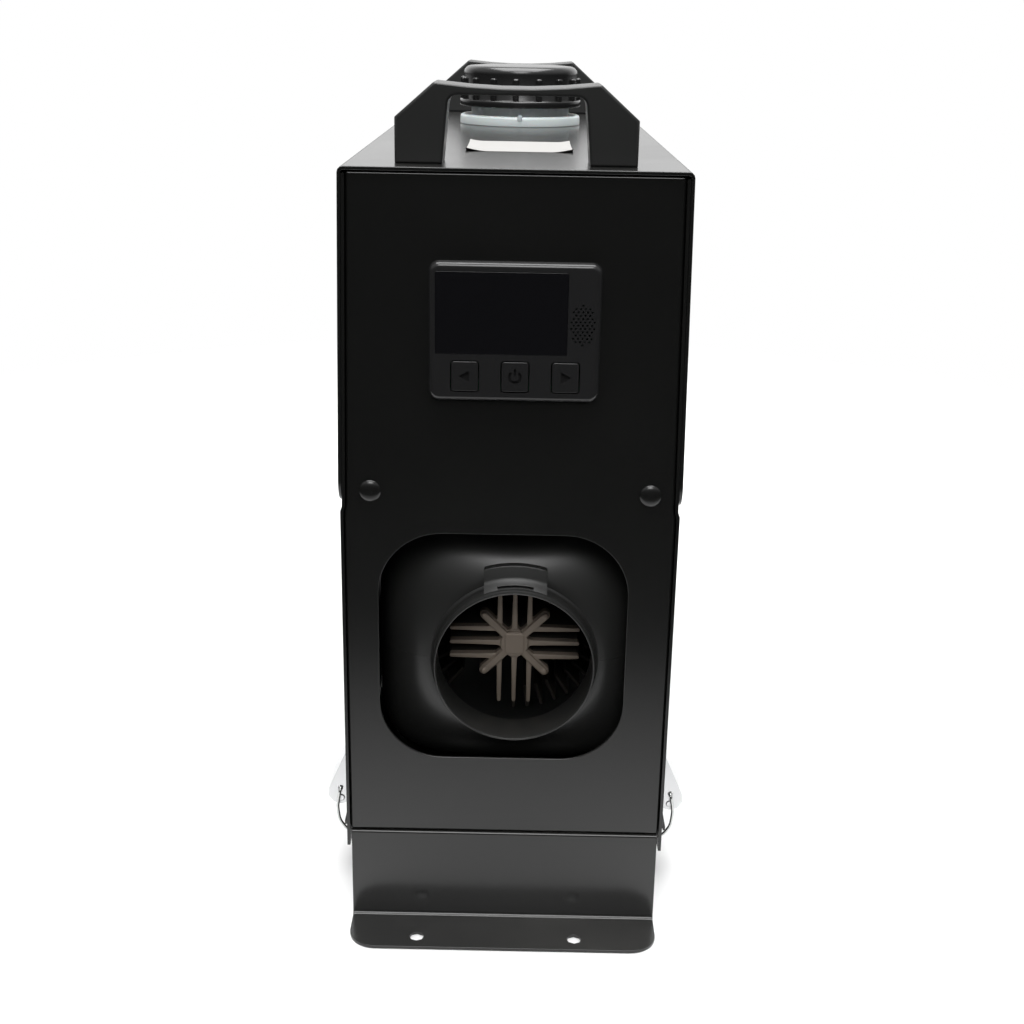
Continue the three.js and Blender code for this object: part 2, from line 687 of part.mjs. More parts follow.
function topCover() {
  const topZ = CASE_TOP - COVER_SHEET / 2;
  const half = [[coverMiddle(COVER_SKIRT_Z), COVER_SKIRT_Z], [coverMiddle(topZ), topZ]];
  const middle = [...half, ...half.map(([x, z]) => [-x, z]).reverse()];
  const bent = extrudeY(sheetShape(middle, COVER_SHEET, COVER_BEND), FRONT, BACK);
  const side = roundedShape(FRONT, BACK, COVER_SKIRT_Z, CASE_TOP + 2 * SKIRT_CORNER, SKIRT_CORNER);
  const trimmed = common(bent, extrudeX(side, -CASE_WIDTH, CASE_WIDTH));
  const screwHoles = handleScrewPlaces().map(([x, y]) =>
    rodZ(SCREW_SHANK / 2 + FIT_GAP, COVER_UNDER - 1, CASE_TOP + 1, x, y, SMALL));
  const neckHole = rodZ(NECK_RADIUS + FIT_GAP, COVER_UNDER - 1, CASE_TOP + 1, NECK_X, NECK_Y, FINE);
  return cut(trimmed, neckHole, ...screwHoles);
}

function caseFloor() {
  const halfWidth = CASE_WIDTH / 2 - SIDE_SHEET - FIT_GAP;
  const end = -PANEL_FACE - PANEL_RETURN - 2 * SEAT_GAP;
  const plate = box(-halfWidth, halfWidth, -end, end, BASE_HEIGHT, FLOOR_TOP);
  const through = [BASE_HEIGHT - 1, FLOOR_TOP + 1];
  return cut(plate, ...pipeHoles(...through), ...boltHoles(...through));
}

function dividerShelf() {
  const wide = CASE_WIDTH / 2 - SIDE_SHEET - SIDE_STEP_IN - FIT_GAP - PANEL_EDGE / 2;
  const narrow = CASE_WIDTH / 2 - SIDE_SHEET - STRIP_WIDTH;
  const stripBack = PANEL_FACE + PANEL_RETURN + 2 * SEAT_GAP + SIDE_SHEET;
  const middleZ = SHELF_Z - SIDE_SHEET / 2;
  const flangeY = -PANEL_REAR - SIDE_SHEET / 2;
  const section = [[-flangeY, SHELF_Z + SHELF_FLANGE], [-flangeY, middleZ], [flangeY, middleZ],
    [flangeY, SHELF_Z + SHELF_FLANGE]];
  const strip = extrudeX(sheetShape(section, SIDE_SHEET, COVER_BEND), -narrow, narrow);
  const wings = box(-wide, wide, stripBack, -stripBack, SHELF_UNDER, SHELF_Z);
  return cut(
    join(strip, wings),
    ...[PANEL_REAR - 1, -PANEL_REAR - SIDE_SHEET - 1].flatMap((y) => rivetHoles(y, SIDE_SHEET + 2)),
    rodZ(LINE_RADIUS + GROMMET_GAP, SHELF_UNDER - 1, SHELF_Z + 1, DELIVERY_X, PUMP_Y, SMALL),
    rodZ(HARNESS_RADIUS + GROMMET_GAP, SHELF_UNDER - 1, SHELF_Z + 1, HARNESS_X, HARNESS_Y, SMALL),
  );
}

// Domed rivet with its head's underside on the front panel's face
function rivet(x) {
  const head = [[0, -RIVET_HEIGHT], [RIVET_HEAD * 0.22, -RIVET_HEIGHT * 0.92],
    [RIVET_HEAD * 0.4, -RIVET_HEIGHT * 0.55], [RIVET_HEAD / 2, 0], [0, 0]];
  const tail = PANEL_SHEET + SIDE_SHEET;
  return join(
    turnedY(head, 0, 0, 0, SMALL),
    rodY(RIVET_SHANK / 2, -0.5, tail + 1, 0, 0, SMALL),
    rodY(RIVET_SHANK * 0.75, tail, tail + 1.5, 0, 0, SMALL),
  ).translate(x, PANEL_FACE, RIVET_Z);
}

// ---------------------------------------------------------------- handles

function handle() {
  const underside = HANDLE_HEIGHT - GRIP_THICK;
  const topCorner = HANDLE_HALF_TOP + HANDLE_CORNER;
  const topFlat = HANDLE_HALF_TOP - HANDLE_CORNER;
  const gapTop = HANDLE_HALF_INNER - HANDLE_TAPER;
  const gapFlat = gapTop - HANDLE_ROUND;
  const shape = new THREE.Shape();
  shape.moveTo(-HANDLE_HALF_FOOT, 0);
  shape.lineTo(-HANDLE_HALF_FOOT, HANDLE_SHOULDER);
  shape.lineTo(-topCorner, HANDLE_HEIGHT - HANDLE_CORNER);
  shape.quadraticCurveTo(-HANDLE_HALF_TOP, HANDLE_HEIGHT, -topFlat, HANDLE_HEIGHT);
  shape.quadraticCurveTo(0, HANDLE_HEIGHT - 2 * GRIP_SAG, topFlat, HANDLE_HEIGHT);
  shape.quadraticCurveTo(HANDLE_HALF_TOP, HANDLE_HEIGHT, topCorner, HANDLE_HEIGHT - HANDLE_CORNER);
  shape.lineTo(HANDLE_HALF_FOOT, HANDLE_SHOULDER);
  shape.lineTo(HANDLE_HALF_FOOT, 0);
  shape.lineTo(HANDLE_HALF_INNER, 0);
  shape.lineTo(gapTop, underside - HANDLE_ROUND);
  shape.quadraticCurveTo(gapTop, underside, gapFlat, underside);
  shape.lineTo(-gapFlat, underside);
  shape.quadraticCurveTo(-gapTop, underside, -gapTop, underside - HANDLE_ROUND);
  shape.lineTo(-HANDLE_HALF_INNER, 0);
  const body = extrudeY(shape, -HANDLE_DEPTH / 2, HANDLE_DEPTH / 2, HANDLE_EDGE, 5);
  const holes = [-HANDLE_FOOT_X, HANDLE_FOOT_X].map((x) =>
    rodZ(SCREW_SHANK / 2 + FIT_GAP, -1, SCREW_BITE + FIT_GAP, x, 0, SMALL));
  return cut(body, ...holes).translate(0, 0, CASE_TOP);
}

// Steel strap with two welded screws, drawn with its middle at y = 0
function handleStrap() {
  const [length, width, thick] = STRAP_SIZE;
  const bar = box(-length / 2, length / 2, -width / 2, width / 2, COVER_UNDER - thick, COVER_UNDER);
  const screws = [-HANDLE_FOOT_X, HANDLE_FOOT_X].map((x) =>
    rodZ(SCREW_SHANK / 2, COVER_UNDER - 1, CASE_TOP + SCREW_BITE, x, 0, SMALL));
  return join(bar, ...screws);
}

// ---------------------------------------------------------------- tank, neck and cap

function fuelTank() {
  const plan = (inset) => roundedShape(
    inset - TANK_WIDTH / 2, TANK_WIDTH / 2 - inset,
    TANK_FRONT + inset, TANK_BACK - inset, TANK_CORNER - inset,
  );
  const body = extrudeZ(plan(0), TANK_BOTTOM, TANK_TOP, TANK_WALL);
  const neck = rodZ(NECK_RADIUS, TANK_TOP - TANK_WALL, NECK_TOP, NECK_X, NECK_Y, FINE);
  return cut(
    join(body, neck),
    extrudeZ(plan(TANK_WALL), TANK_BOTTOM + TANK_WALL, TANK_TOP - TANK_WALL),
    rodZ(NECK_RADIUS - NECK_WALL, TANK_TOP - 2 * TANK_WALL, NECK_TOP + 1, NECK_X, NECK_Y, FINE),
    rodY(BARB_RADIUS + FIT_GAP, TANK_BACK - 2 * TANK_WALL, TANK_BACK + 1, OUTLET_X, OUTLET_Z, SMALL),
  );
}

function neckCollar() {
  const top = CASE_TOP + COLLAR_HEIGHT;
  const ring = sleeveZ(COLLAR_RADIUS, NECK_RADIUS + FIT_GAP, CASE_TOP, top, NECK_X, NECK_Y, FINE);
  const front = NECK_Y - COLLAR_RADIUS;
  const nub = box(NECK_X - 3, NECK_X + 3, front - 2, front + 3, CASE_TOP, CASE_TOP + COLLAR_HEIGHT / 2);
  return join(ring, nub);
}

function fuelCap() {
  const inner = NECK_RADIUS + CAP_THREAD_GAP;
  const edge = CAP_EDGE;
  const skirtTop = CAP_SKIRT_Z + CAP_SKIRT_HEIGHT;
  const profile = [[inner, CAP_SKIRT_Z], [CAP_RADIUS - 1, CAP_SKIRT_Z], [CAP_RADIUS, CAP_SKIRT_Z + 1],
    [CAP_RADIUS, skirtTop - 1], [CAP_RADIUS - 1, skirtTop], [CAP_GRIP_RADIUS, skirtTop],
    [CAP_GRIP_RADIUS, CAP_TOP - edge], [CAP_GRIP_RADIUS - edge * 0.3, CAP_TOP - edge * 0.35],
    [CAP_GRIP_RADIUS - edge, CAP_TOP], [0, CAP_TOP], [0, CAP_CEILING], [inner, CAP_CEILING],
    [inner, CAP_SKIRT_Z]];
  const body = turnedZ(profile, NECK_X, NECK_Y, 0, FINE);
  const grip = toothedShape(CAP_GRIP_RADIUS - 1, CAP_RADIUS - 0.4, CAP_RIBS, CAP_RIB_WIDTH);
  const bore = rodZ(CAP_GRIP_RADIUS - 2, 0, 2 * CAP_TOP, 0, 0, FINE);
  const ribs = cut(extrudeZ(grip, skirtTop - 0.5, CAP_TOP - edge - 0.5), bore);
  ribs.rotateZ(THREE.MathUtils.degToRad(CAP_RIB_TURN)).translate(NECK_X, NECK_Y, 0);
  return join(body, ribs);
}

function capGasket() {
  const top = GASKET_BOTTOM + GASKET_THICK;
  return sleeveZ(NECK_RADIUS, NECK_RADIUS - NECK_WALL, GASKET_BOTTOM, top, NECK_X, NECK_Y);
}

// ---------------------------------------------------------------- fuel system

function tankOutlet() {
  const nose = TANK_BACK + OUTLET_REACH;
  const body = join(
    rodY(BARB_RADIUS, TANK_BACK - TANK_WALL, TANK_BACK + 4, OUTLET_X, OUTLET_Z, SMALL),
    rodY(BARB_RADIUS * 2, TANK_BACK + SEAT_GAP, TANK_BACK + 4, OUTLET_X, OUTLET_Z, 6),
    rodY(LINE_RADIUS, TANK_BACK + 3, nose, OUTLET_X, OUTLET_Z, SMALL),
  );
  return cut(body, rodY(1.2, TANK_BACK - TANK_WALL - 1, nose + 1, OUTLET_X, OUTLET_Z, 8));
}

function fuelLineSuction() {
  const start = TANK_BACK + OUTLET_REACH + SEAT_GAP;
  return tube([[OUTLET_X, start, OUTLET_Z], [OUTLET_X, start + 6, OUTLET_Z],
    [OUTLET_X - 3, PUMP_Y - 4, OUTLET_Z], [OUTLET_X - 12, PUMP_Y, OUTLET_Z],
    [0, PUMP_Y, OUTLET_Z], [PUMP_X + 14, PUMP_Y, OUTLET_Z], [PUMP_X + 4, PUMP_Y, OUTLET_Z + 3],
    [PUMP_X, PUMP_Y, OUTLET_Z + 9], [PUMP_X, PUMP_Y, PUMP_LOW - PUMP_BARB - SEAT_GAP]], LINE_RADIUS, 26);
}

function fuelPump() {
  return join(
    rodZ(PUMP_RADIUS, PUMP_LOW, PUMP_HIGH, PUMP_X, PUMP_Y, ROUND),
    rodZ(PUMP_RADIUS * 0.55, PUMP_LOW - 4, PUMP_HIGH + 4, PUMP_X, PUMP_Y, 6),
    rodZ(LINE_RADIUS, PUMP_LOW - PUMP_BARB, PUMP_HIGH + PUMP_BARB, PUMP_X, PUMP_Y, SMALL),
  );
}

function pumpMount() {
  const outer = PUMP_RADIUS + SEAT_GAP + MOUNT_WALL;
  const ring = sleeveZ(outer, PUMP_RADIUS + SEAT_GAP, MOUNT_LOW, MOUNT_HIGH, PUMP_X, PUMP_Y, ROUND);
  const arm = box(PUMP_X - 8, PUMP_X + 8, PUMP_Y + outer - 2, -PANEL_REAR, MOUNT_LOW, MOUNT_HIGH);
  return join(ring, arm);
}

const HARNESS_X = 34;
const HARNESS_Y = -196;

function fuelLineDelivery() {
  const lowZ = FOOT_TOP + 7;
  const outside = -CASE_WIDTH / 2 + SIDE_SHEET + LINE_RADIUS + 2.6;
  const footX = AXIS_X - FOOT_COLUMN[0] / 2;
  const barbTop = PUMP_HIGH + PUMP_BARB;
  return tube([
    [PUMP_X, PUMP_Y, barbTop + SEAT_GAP], [PUMP_X, PUMP_Y, barbTop + 4], [PUMP_X - 5, PUMP_Y, barbTop + 10],
    [(PUMP_X + DELIVERY_X) / 2, PUMP_Y, barbTop + 12], [DELIVERY_X + 4, PUMP_Y, barbTop + 8],
    [DELIVERY_X, PUMP_Y, PUMP_HIGH],
    [DELIVERY_X, PUMP_Y, SHELF_Z + 30], [DELIVERY_X, PUMP_Y, SHELF_Z - 20],
    [outside + 2, PUMP_Y, AXIS_Z + 20], [outside, PUMP_Y - 4, AXIS_Z - 40], [outside, PUMP_Y - 16, lowZ + 5],
    [outside, PUMP_Y - 30, lowZ], [outside, 60, lowZ], [outside, 0, lowZ],
    [outside + 6, FOOT_Y - 4, lowZ], [outside + 16, FOOT_Y - 8, lowZ],
    [footX - 10, FOOT_Y - 8, lowZ], [footX - SEAT_GAP, FOOT_Y - 8, lowZ],
  ], LINE_RADIUS, 36);
}

// ---------------------------------------------------------------- burner unit

const SHELL_POINTS = 30;

// A ring in X and Z round the unit's axis: roundness 2 is an ellipse, and higher is squarer
function shellRing(y, halfWidth, halfHeight, roundness) {
  return Array.from({ length: SHELL_POINTS }, (_, k) => {
    const angle = (2 * Math.PI * k) / SHELL_POINTS;
    const across = (Math.abs(Math.cos(angle)) / halfWidth) ** roundness;
    const along = (Math.abs(Math.sin(angle)) / halfHeight) ** roundness;
    const reach = (across + along) ** (-1 / roundness);
    return new THREE.Vector3(AXIS_X + reach * Math.cos(angle), y, AXIS_Z + reach * Math.sin(angle));
  });
}

function shellBody(inset) {
  const wide = SHELL_HALF_WIDTH - inset;
  const high = SHELL_HALF_HEIGHT - inset;
  const nose = SHELL_NOSE - inset;
  const dome = Array.from({ length: DOME_STEPS + 1 }, (_, k) => {
    const angle = THREE.MathUtils.lerp(DOME_START, Math.PI / 2, k / DOME_STEPS);
    const out = (Math.sin(angle) - Math.sin(DOME_START)) / (1 - Math.sin(DOME_START));
    const along = SHELL_DOME * (1 - Math.cos(angle) / Math.cos(DOME_START));
    const squareness = 2 + (SHELL_SQUARE - 2) * out * out;
    return shellRing(SHELL_FRONT + inset + along, nose + (wide - nose) * out, nose + (high - nose) * out,
      squareness);
  });
  return loft([
    ...dome,
    shellRing(SHELL_BACK - 22, wide, high, SHELL_SQUARE),
    shellRing(SHELL_BACK - 8, wide - 2, high - 3, 3.4),
    shellRing(SHELL_BACK + inset, SHELL_MOUTH - inset, SHELL_MOUTH - inset, 2),
  ]);
}

function shellHalf(bottom, top) {
  const skin = cut(
    shellBody(0),
    shellBody(SHELL_WALL),
    rodY(RING_RADIUS + FIT_GAP, SHELL_FRONT - 5, SHELL_FRONT + 10, AXIS_X, AXIS_Z, FINE),
    box(
      AXIS_X - FOOT_COLUMN[0] / 2 - FIT_GAP, AXIS_X + FOOT_COLUMN[0] / 2 + FIT_GAP,
      FOOT_Y - FOOT_COLUMN[1] / 2 - FIT_GAP, FOOT_Y + FOOT_COLUMN[1] / 2 + FIT_GAP,
      AXIS_Z - SHELL_HALF_HEIGHT - 5, AXIS_Z - SHELL_HALF_HEIGHT + 8,
    ),
    rodZ(HARNESS_RADIUS + GROMMET_GAP, AXIS_Z + SHELL_HALF_HEIGHT - 8, AXIS_Z + SHELL_HALF_HEIGHT + 5,
      HARNESS_X, PCB_Y - PCB_SIZE[1] / 2, SMALL),
  );
  return common(skin, box(-CASE_WIDTH, CASE_WIDTH, FRONT, BACK, bottom, top));
}

function outletRing() {
  const inner = RING_RADIUS - RING_WALL;
  const tubeRadius = RING_RADIUS - 0.5;
  const flangeFront = SHELL_FRONT - SEAT_GAP - 1.5;
  const flangeBack = SHELL_FRONT - SEAT_GAP;
  const profile = [[inner, RING_FRONT], [RING_RADIUS, RING_FRONT], [RING_RADIUS, RING_FRONT + RING_LIP],
    [tubeRadius, RING_FRONT + RING_LIP], [tubeRadius, flangeFront], [SHELL_NOSE - 0.8, flangeFront],
    [SHELL_NOSE - 0.8, flangeBack], [RING_RADIUS, flangeBack], [RING_RADIUS, RING_BACK], [inner, RING_BACK],
    [inner, RING_FRONT]];
  const ring = turnedY(profile, AXIS_X, 0, AXIS_Z, FINE);
  const hub = rodY(inner + RING_WALL / 2, TAB_FRONT - 1, SHELL_FRONT + 10, AXIS_X, AXIS_Z, FINE);
  const slotTop = AXIS_Z + TAB_TOP - TAB_SLOT_DROP;
  const slot = box(AXIS_X - TAB_SLOT / 2, AXIS_X + TAB_SLOT / 2, TAB_FRONT - 1, TAB_FRONT + TAB_SLOT_HIGH,
    slotTop - TAB_SLOT_HIGH, slotTop);
  const block = box(AXIS_X - TAB_WIDTH / 2, AXIS_X + TAB_WIDTH / 2, TAB_FRONT, SHELL_FRONT + 8,
    AXIS_Z + RING_RADIUS - 6, AXIS_Z + TAB_TOP);
  const tab = cut(block, hub, shellBody(-SEAT_GAP), slot);
  return join(ring, tab);
}

function crossPlate() {
  const rods = [];
  for (const turn of [0, 1, 2, 3]) {
    const angle = (turn * Math.PI) / 2;
    for (const row of [-1, 0, 1]) {
      const centre = row * CROSS_PITCH;
      const start = CROSS_BOSS / 2 - CROSS_FIN / 2;
      const fin = shapeOf([[centre - CROSS_FIN / 2, start], [centre - CROSS_FIN / 2, CROSS_REACH],
        [centre + CROSS_FIN / 2, CROSS_REACH], [centre + CROSS_FIN / 2, start]]);
      rods.push(extrudeY(fin, CROSS_FRONT + 0.5, CORE_FRONT + 1).rotateY(angle));
    }
    const half = CROSS_RIB / 2;
    const rib = shapeOf([[-half, 0], [half, 0], [half, CROSS_RIB_REACH - 1], [half / 2, CROSS_RIB_REACH],
      [-half / 2, CROSS_RIB_REACH], [-half, CROSS_RIB_REACH - 1]]);
    rods.push(extrudeY(rib, CROSS_FRONT, CORE_FRONT + 1).rotateY(angle + Math.PI / 4));
  }
  const corner = CROSS_BOSS / 2 / Math.cos(Math.PI / 8);
  rods.push(rodY(corner, CROSS_FRONT, CORE_FRONT + 1, 0, 0, 8).rotateY(Math.PI / 8));
  return join(...rods).translate(AXIS_X, 0, AXIS_Z);
}

function heatExchanger() {
  const collarFront = CORE_BACK - CORE_COLLAR;
  const nose = rodY(CORE_RADIUS - 5, CORE_FRONT, CORE_FRONT + CORE_WALL, AXIS_X, AXIS_Z, ROUND);
  const finned = toothedShape(CORE_RADIUS, FIN_RADIUS, FIN_COUNT, FIN_THICK);
  const fins = extrudeY(finned, CORE_FRONT + 4, collarFront + 1).translate(AXIS_X, 0, AXIS_Z);
  const column = box(
    AXIS_X - FOOT_COLUMN[0] / 2, AXIS_X + FOOT_COLUMN[0] / 2,
    FOOT_Y - FOOT_COLUMN[1] / 2, FOOT_Y + FOOT_COLUMN[1] / 2, FOOT_TOP - 1, AXIS_Z - CORE_RADIUS + 4,
  );
  const flange = footPlate(FOOT_BOTTOM, FOOT_TOP);
  const studs = boltPlaces().map(([x, y]) =>
    rodZ(BOLT_SHANK / 2, BASE_HEIGHT - STUD_REACH, FOOT_TOP - 1, x, y, SMALL));
  const collar = rodY(HOUSING_RADIUS, collarFront, CORE_BACK, AXIS_X, AXIS_Z, FINE);
  const body = join(nose, fins, collar, column, flange, ...studs, crossPlate());
  return cut(
    body,
    rodY(CORE_BORE, CORE_FRONT + CORE_WALL, CORE_BACK + 1, AXIS_X, AXIS_Z, FINE),
    rodZ(STUB_RADIUS - 3, FOOT_BOTTOM - 1, AXIS_Z - CORE_BORE + 2, EXHAUST_X, EXHAUST_Y, SMALL),
    rodZ(STUB_RADIUS - 3, FOOT_BOTTOM - 1, FOOT_TOP + 12, INTAKE_X, INTAKE_Y, SMALL),
    rodZ(PLUG_RADIUS + FIT_GAP, AXIS_Z + BURNER_RADIUS, AXIS_Z + HOUSING_RADIUS + 2, PLUG_X, PLUG_Y, SMALL),
  );
}

function footPlate(z0, z1) {
  return extrudeZ(centredShape(AXIS_X, FOOT_Y, FOOT_SIZE[0] / 2, FOOT_SIZE[1] / 2, FOOT_CORNER), z0, z1);
}

function boltPlaces() {
  const halfX = FOOT_SIZE[0] / 2 - BOLT_INSET;
  const halfY = FOOT_SIZE[1] / 2 - BOLT_INSET;
  return [[-1, -1], [1, -1], [1, 1], [-1, 1]].map(([a, b]) => [AXIS_X + a * halfX, FOOT_Y + b * halfY]);
}

function boltHoles(z0, z1) {
  return boltPlaces().map(([x, y]) => rodZ(BOLT_SHANK / 2 + FIT_GAP, z0, z1, x, y, SMALL));
}

function pipeHoles(z0, z1) {
  return [[EXHAUST_X, EXHAUST_Y], [INTAKE_X, INTAKE_Y]].map(([x, y]) =>
    rodZ(STUB_RADIUS + FIT_GAP, z0, z1, x, y, ROUND));
}

function mountingGasket() {
  const through = [FLOOR_TOP - 1, FOOT_BOTTOM + 1];
  return cut(footPlate(FLOOR_TOP, FOOT_BOTTOM), ...pipeHoles(...through), ...boltHoles(...through));
}

function pipeStub(x, y) {
  return sleeveZ(STUB_RADIUS, STUB_RADIUS - STUB_WALL, STUB_END_Z, FOOT_BOTTOM, x, y, ROUND);
}

function burnerTube() {
  const inner = BURNER_RADIUS - BURNER_WALL;
  const flange = CORE_BACK + FLANGE_THICK;
  const seat = CORE_BACK + SEAT_GAP / 2;
  const profile = [[inner, BURNER_FRONT], [BURNER_RADIUS, BURNER_FRONT], [BURNER_RADIUS, seat],
    [HOUSING_RADIUS, seat], [HOUSING_RADIUS, flange], [inner, flange], [inner, BURNER_FRONT]];
  const hole = rodZ(PLUG_RADIUS + FIT_GAP, AXIS_Z + 10, AXIS_Z + BURNER_RADIUS + 2, PLUG_X, PLUG_Y, SMALL);
  return cut(turnedY(profile, AXIS_X, 0, AXIS_Z, FINE), hole);
}

function glowPlug() {
  return join(
    rodZ(PLUG_RADIUS, AXIS_Z + 16, PLUG_TOP, PLUG_X, PLUG_Y, SMALL),
    rodZ(PLUG_RADIUS * 1.7, AXIS_Z + HOUSING_RADIUS + SEAT_GAP, PLUG_TOP - 1, PLUG_X, PLUG_Y, 6),
  );
}

function blowerHousing() {
  const legs = [-1, 1].map((side) => {
    const x = AXIS_X + (side * PCB_SIZE[0]) / 2 - side * 6;
    const front = PCB_Y - PCB_SIZE[1] / 2;
    return box(x - 3, x + 3, front, HOUSING_BACK, AXIS_Z, PCB_BOTTOM);
  });
  const profile = [[0, HOUSING_FRONT], [HOUSING_RADIUS, HOUSING_FRONT], [HOUSING_RADIUS, HOUSING_BACK],
    [0, HOUSING_BACK]];
  const front = HOUSING_FRONT + HOUSING_WALL;
  const back = HOUSING_BACK - HOUSING_WALL;
  return cut(
    join(turnedY(profile, AXIS_X, 0, AXIS_Z, FINE), ...legs),
    rodY(HOUSING_RADIUS - HOUSING_WALL, front, back, AXIS_X, AXIS_Z, FINE),
    rodY(SHAFT_RADIUS + 2, back - 1, HOUSING_BACK + 1, AXIS_X, AXIS_Z, SMALL),
    rodY(WHEEL_RADIUS / 3, HOUSING_FRONT - 1, front + 1, AXIS_X, AXIS_Z, ROUND),
  );
}

function motor() {
  const bore = SHAFT_RADIUS + FIT_GAP;
  const profile = [[bore, MOTOR_FRONT], [MOTOR_RADIUS, MOTOR_FRONT], [MOTOR_RADIUS, MOTOR_BACK - MOTOR_EDGE],
    [MOTOR_RADIUS - MOTOR_EDGE, MOTOR_BACK], [bore, MOTOR_BACK], [bore, MOTOR_FRONT]];
  return turnedY(profile, AXIS_X, 0, AXIS_Z, FINE);
}

function rotorShaft() {
  return rodY(SHAFT_RADIUS, SHAFT_FRONT, SHAFT_BACK, AXIS_X, AXIS_Z, SMALL);
}

function combustionWheel() {
  const back = WHEEL_FRONT + WHEEL_DEPTH;
  const disc = rodY(WHEEL_RADIUS, back - WHEEL_DISC, back, 0, 0, FINE);
  const hub = rodY(WHEEL_HUB, WHEEL_FRONT, back, 0, 0, ROUND);
  const vanes = Array.from({ length: WHEEL_VANES }, (_, k) => {
    const half = WHEEL_VANE / 2;
    const vane = box(WHEEL_HUB - 1, WHEEL_RADIUS - 1, WHEEL_FRONT, back - WHEEL_DISC / 2, -half, half);
    return vane.rotateY((2 * Math.PI * k) / WHEEL_VANES);
  });
  const bore = rodY(SHAFT_RADIUS + FIT_GAP, WHEEL_FRONT - 1, back + 1, 0, 0, SMALL);
  return cut(join(disc, hub, ...vanes), bore).translate(AXIS_X, 0, AXIS_Z);
}

function airFan() {
  const middle = FAN_FRONT + FAN_DEPTH / 2;
  const hub = rodY(FAN_HUB, FAN_FRONT, FAN_FRONT + FAN_DEPTH, 0, 0, ROUND, FAN_HUB - 4);
  const blades = Array.from({ length: FAN_BLADES }, (_, k) => {
    const blade = box(FAN_HUB - 6, FAN_RADIUS, -FAN_DEPTH * 0.45, FAN_DEPTH * 0.45, -1, 1);
    return blade.rotateX(0.7).translate(0, middle, 0).rotateY((2 * Math.PI * k) / FAN_BLADES);
  });
  const bore = rodY(SHAFT_RADIUS + FIT_GAP, FAN_FRONT - 9, FAN_FRONT + FAN_DEPTH + 9, 0, 0, SMALL);
  return cut(join(hub, ...blades), bore).translate(AXIS_X, 0, AXIS_Z);
}

function inletGuard() {
  const outer = SHELL_MOUTH - SHELL_WALL - FIT_GAP;
  const y0 = SHELL_BACK - GUARD_DEPTH;
  const rings = [outer, outer * 0.7, outer * 0.4].map((radius) =>
    sleeveY(radius, radius - GUARD_BAR, y0, SHELL_BACK, AXIS_X, AXIS_Z, ROUND));
  const spokes = [0, 1, 2].map((k) => {
    const spoke = box(-outer + 1, outer - 1, y0 + 1, SHELL_BACK - 1, -GUARD_BAR / 2, GUARD_BAR / 2);
    return spoke.rotateY((Math.PI * k) / 3).translate(AXIS_X, 0, AXIS_Z);
  });
  return join(...rings, ...spokes);
}

// ---------------------------------------------------------------- electrics

function controlBoard() {
  const front = PCB_Y - PCB_SIZE[1] / 2;
  const bottom = PCB_BOTTOM + SEAT_GAP;
  const plate = box(AXIS_X - PCB_SIZE[0] / 2, AXIS_X + PCB_SIZE[0] / 2, front, front + PCB_SIZE[1],
    bottom, bottom + PCB_THICK);
  const socket = box(HARNESS_X - 14, HARNESS_X - 5, front + 4, front + 14, bottom, bottom + 4.6);
  const relay = box(AXIS_X - 20, AXIS_X - 6, front + 30, front + 44, bottom, bottom + 4);
  const chip = box(AXIS_X, AXIS_X + 10, front + 34, front + 44, bottom, bottom + 3);
  return join(plate, socket, relay, chip);
}

function overheatSensor() {
  const [width, length, height] = SENSOR_SIZE;
  const z = AXIS_Z + HOUSING_RADIUS;
  const y = CORE_BACK - CORE_COLLAR / 2;
  return box(AXIS_X - 6 - width, AXIS_X - 6, y - length / 2, y + length / 2, z, z + height);
}

function wiringHarness() {
  const start = PCB_Y - PCB_SIZE[1] / 2;
  const end = BOARD_FRONT + PCB_THICK + PLUG_HIGH + SEAT_GAP;
  const underShelf = (SHELF_UNDER + AXIS_Z + SHELL_HALF_HEIGHT) / 2;
  return tube([
    [HARNESS_X, start, PCB_BOTTOM + 3], [HARNESS_X, start, AXIS_Z + SHELL_HALF_HEIGHT - 1],
    [HARNESS_X, start - 3, underShelf - 1.2], [HARNESS_X, start - 12, underShelf],
    [HARNESS_X, 0, underShelf], [HARNESS_X, -100, underShelf], [HARNESS_X, HARNESS_Y + 10, underShelf],
    [HARNESS_X, HARNESS_Y + 1, underShelf + 2], [HARNESS_X, HARNESS_Y, SHELF_Z],
    [HARNESS_X, HARNESS_Y, SHELF_Z + 20], [HARNESS_X - 4, HARNESS_Y, CTRL_Z - 40],
    [CTRL_X, HARNESS_Y, CTRL_Z - 14], [CTRL_X - 10, HARNESS_Y - 1, CTRL_Z],
    [CTRL_X - 11, CTRL_BACK + 4, CTRL_Z + 4], [CTRL_X - 11, end, CTRL_Z + 4],
  ], HARNESS_RADIUS, 34);
}

function powerInlet() {
  const face = -PANEL_FACE;
  const body = join(
    rodY(INLET_RADIUS, -PANEL_REAR - 10, face + 2, INLET_X, INLET_Z, ROUND),
    rodY(INLET_RADIUS + 3, face, face + 5, INLET_X, INLET_Z, 6),
    rodY(INLET_RADIUS - 1, face + 4, face + 12, INLET_X, INLET_Z, ROUND, INLET_RADIUS - 4),
    rodY(INLET_RADIUS + 3, -PANEL_REAR - 5, -PANEL_REAR, INLET_X, INLET_Z, 6),
  );
  return cut(body, rodY(3, -PANEL_REAR - 11, face + 13, INLET_X, INLET_Z, SMALL));
}

// ---------------------------------------------------------------- controller

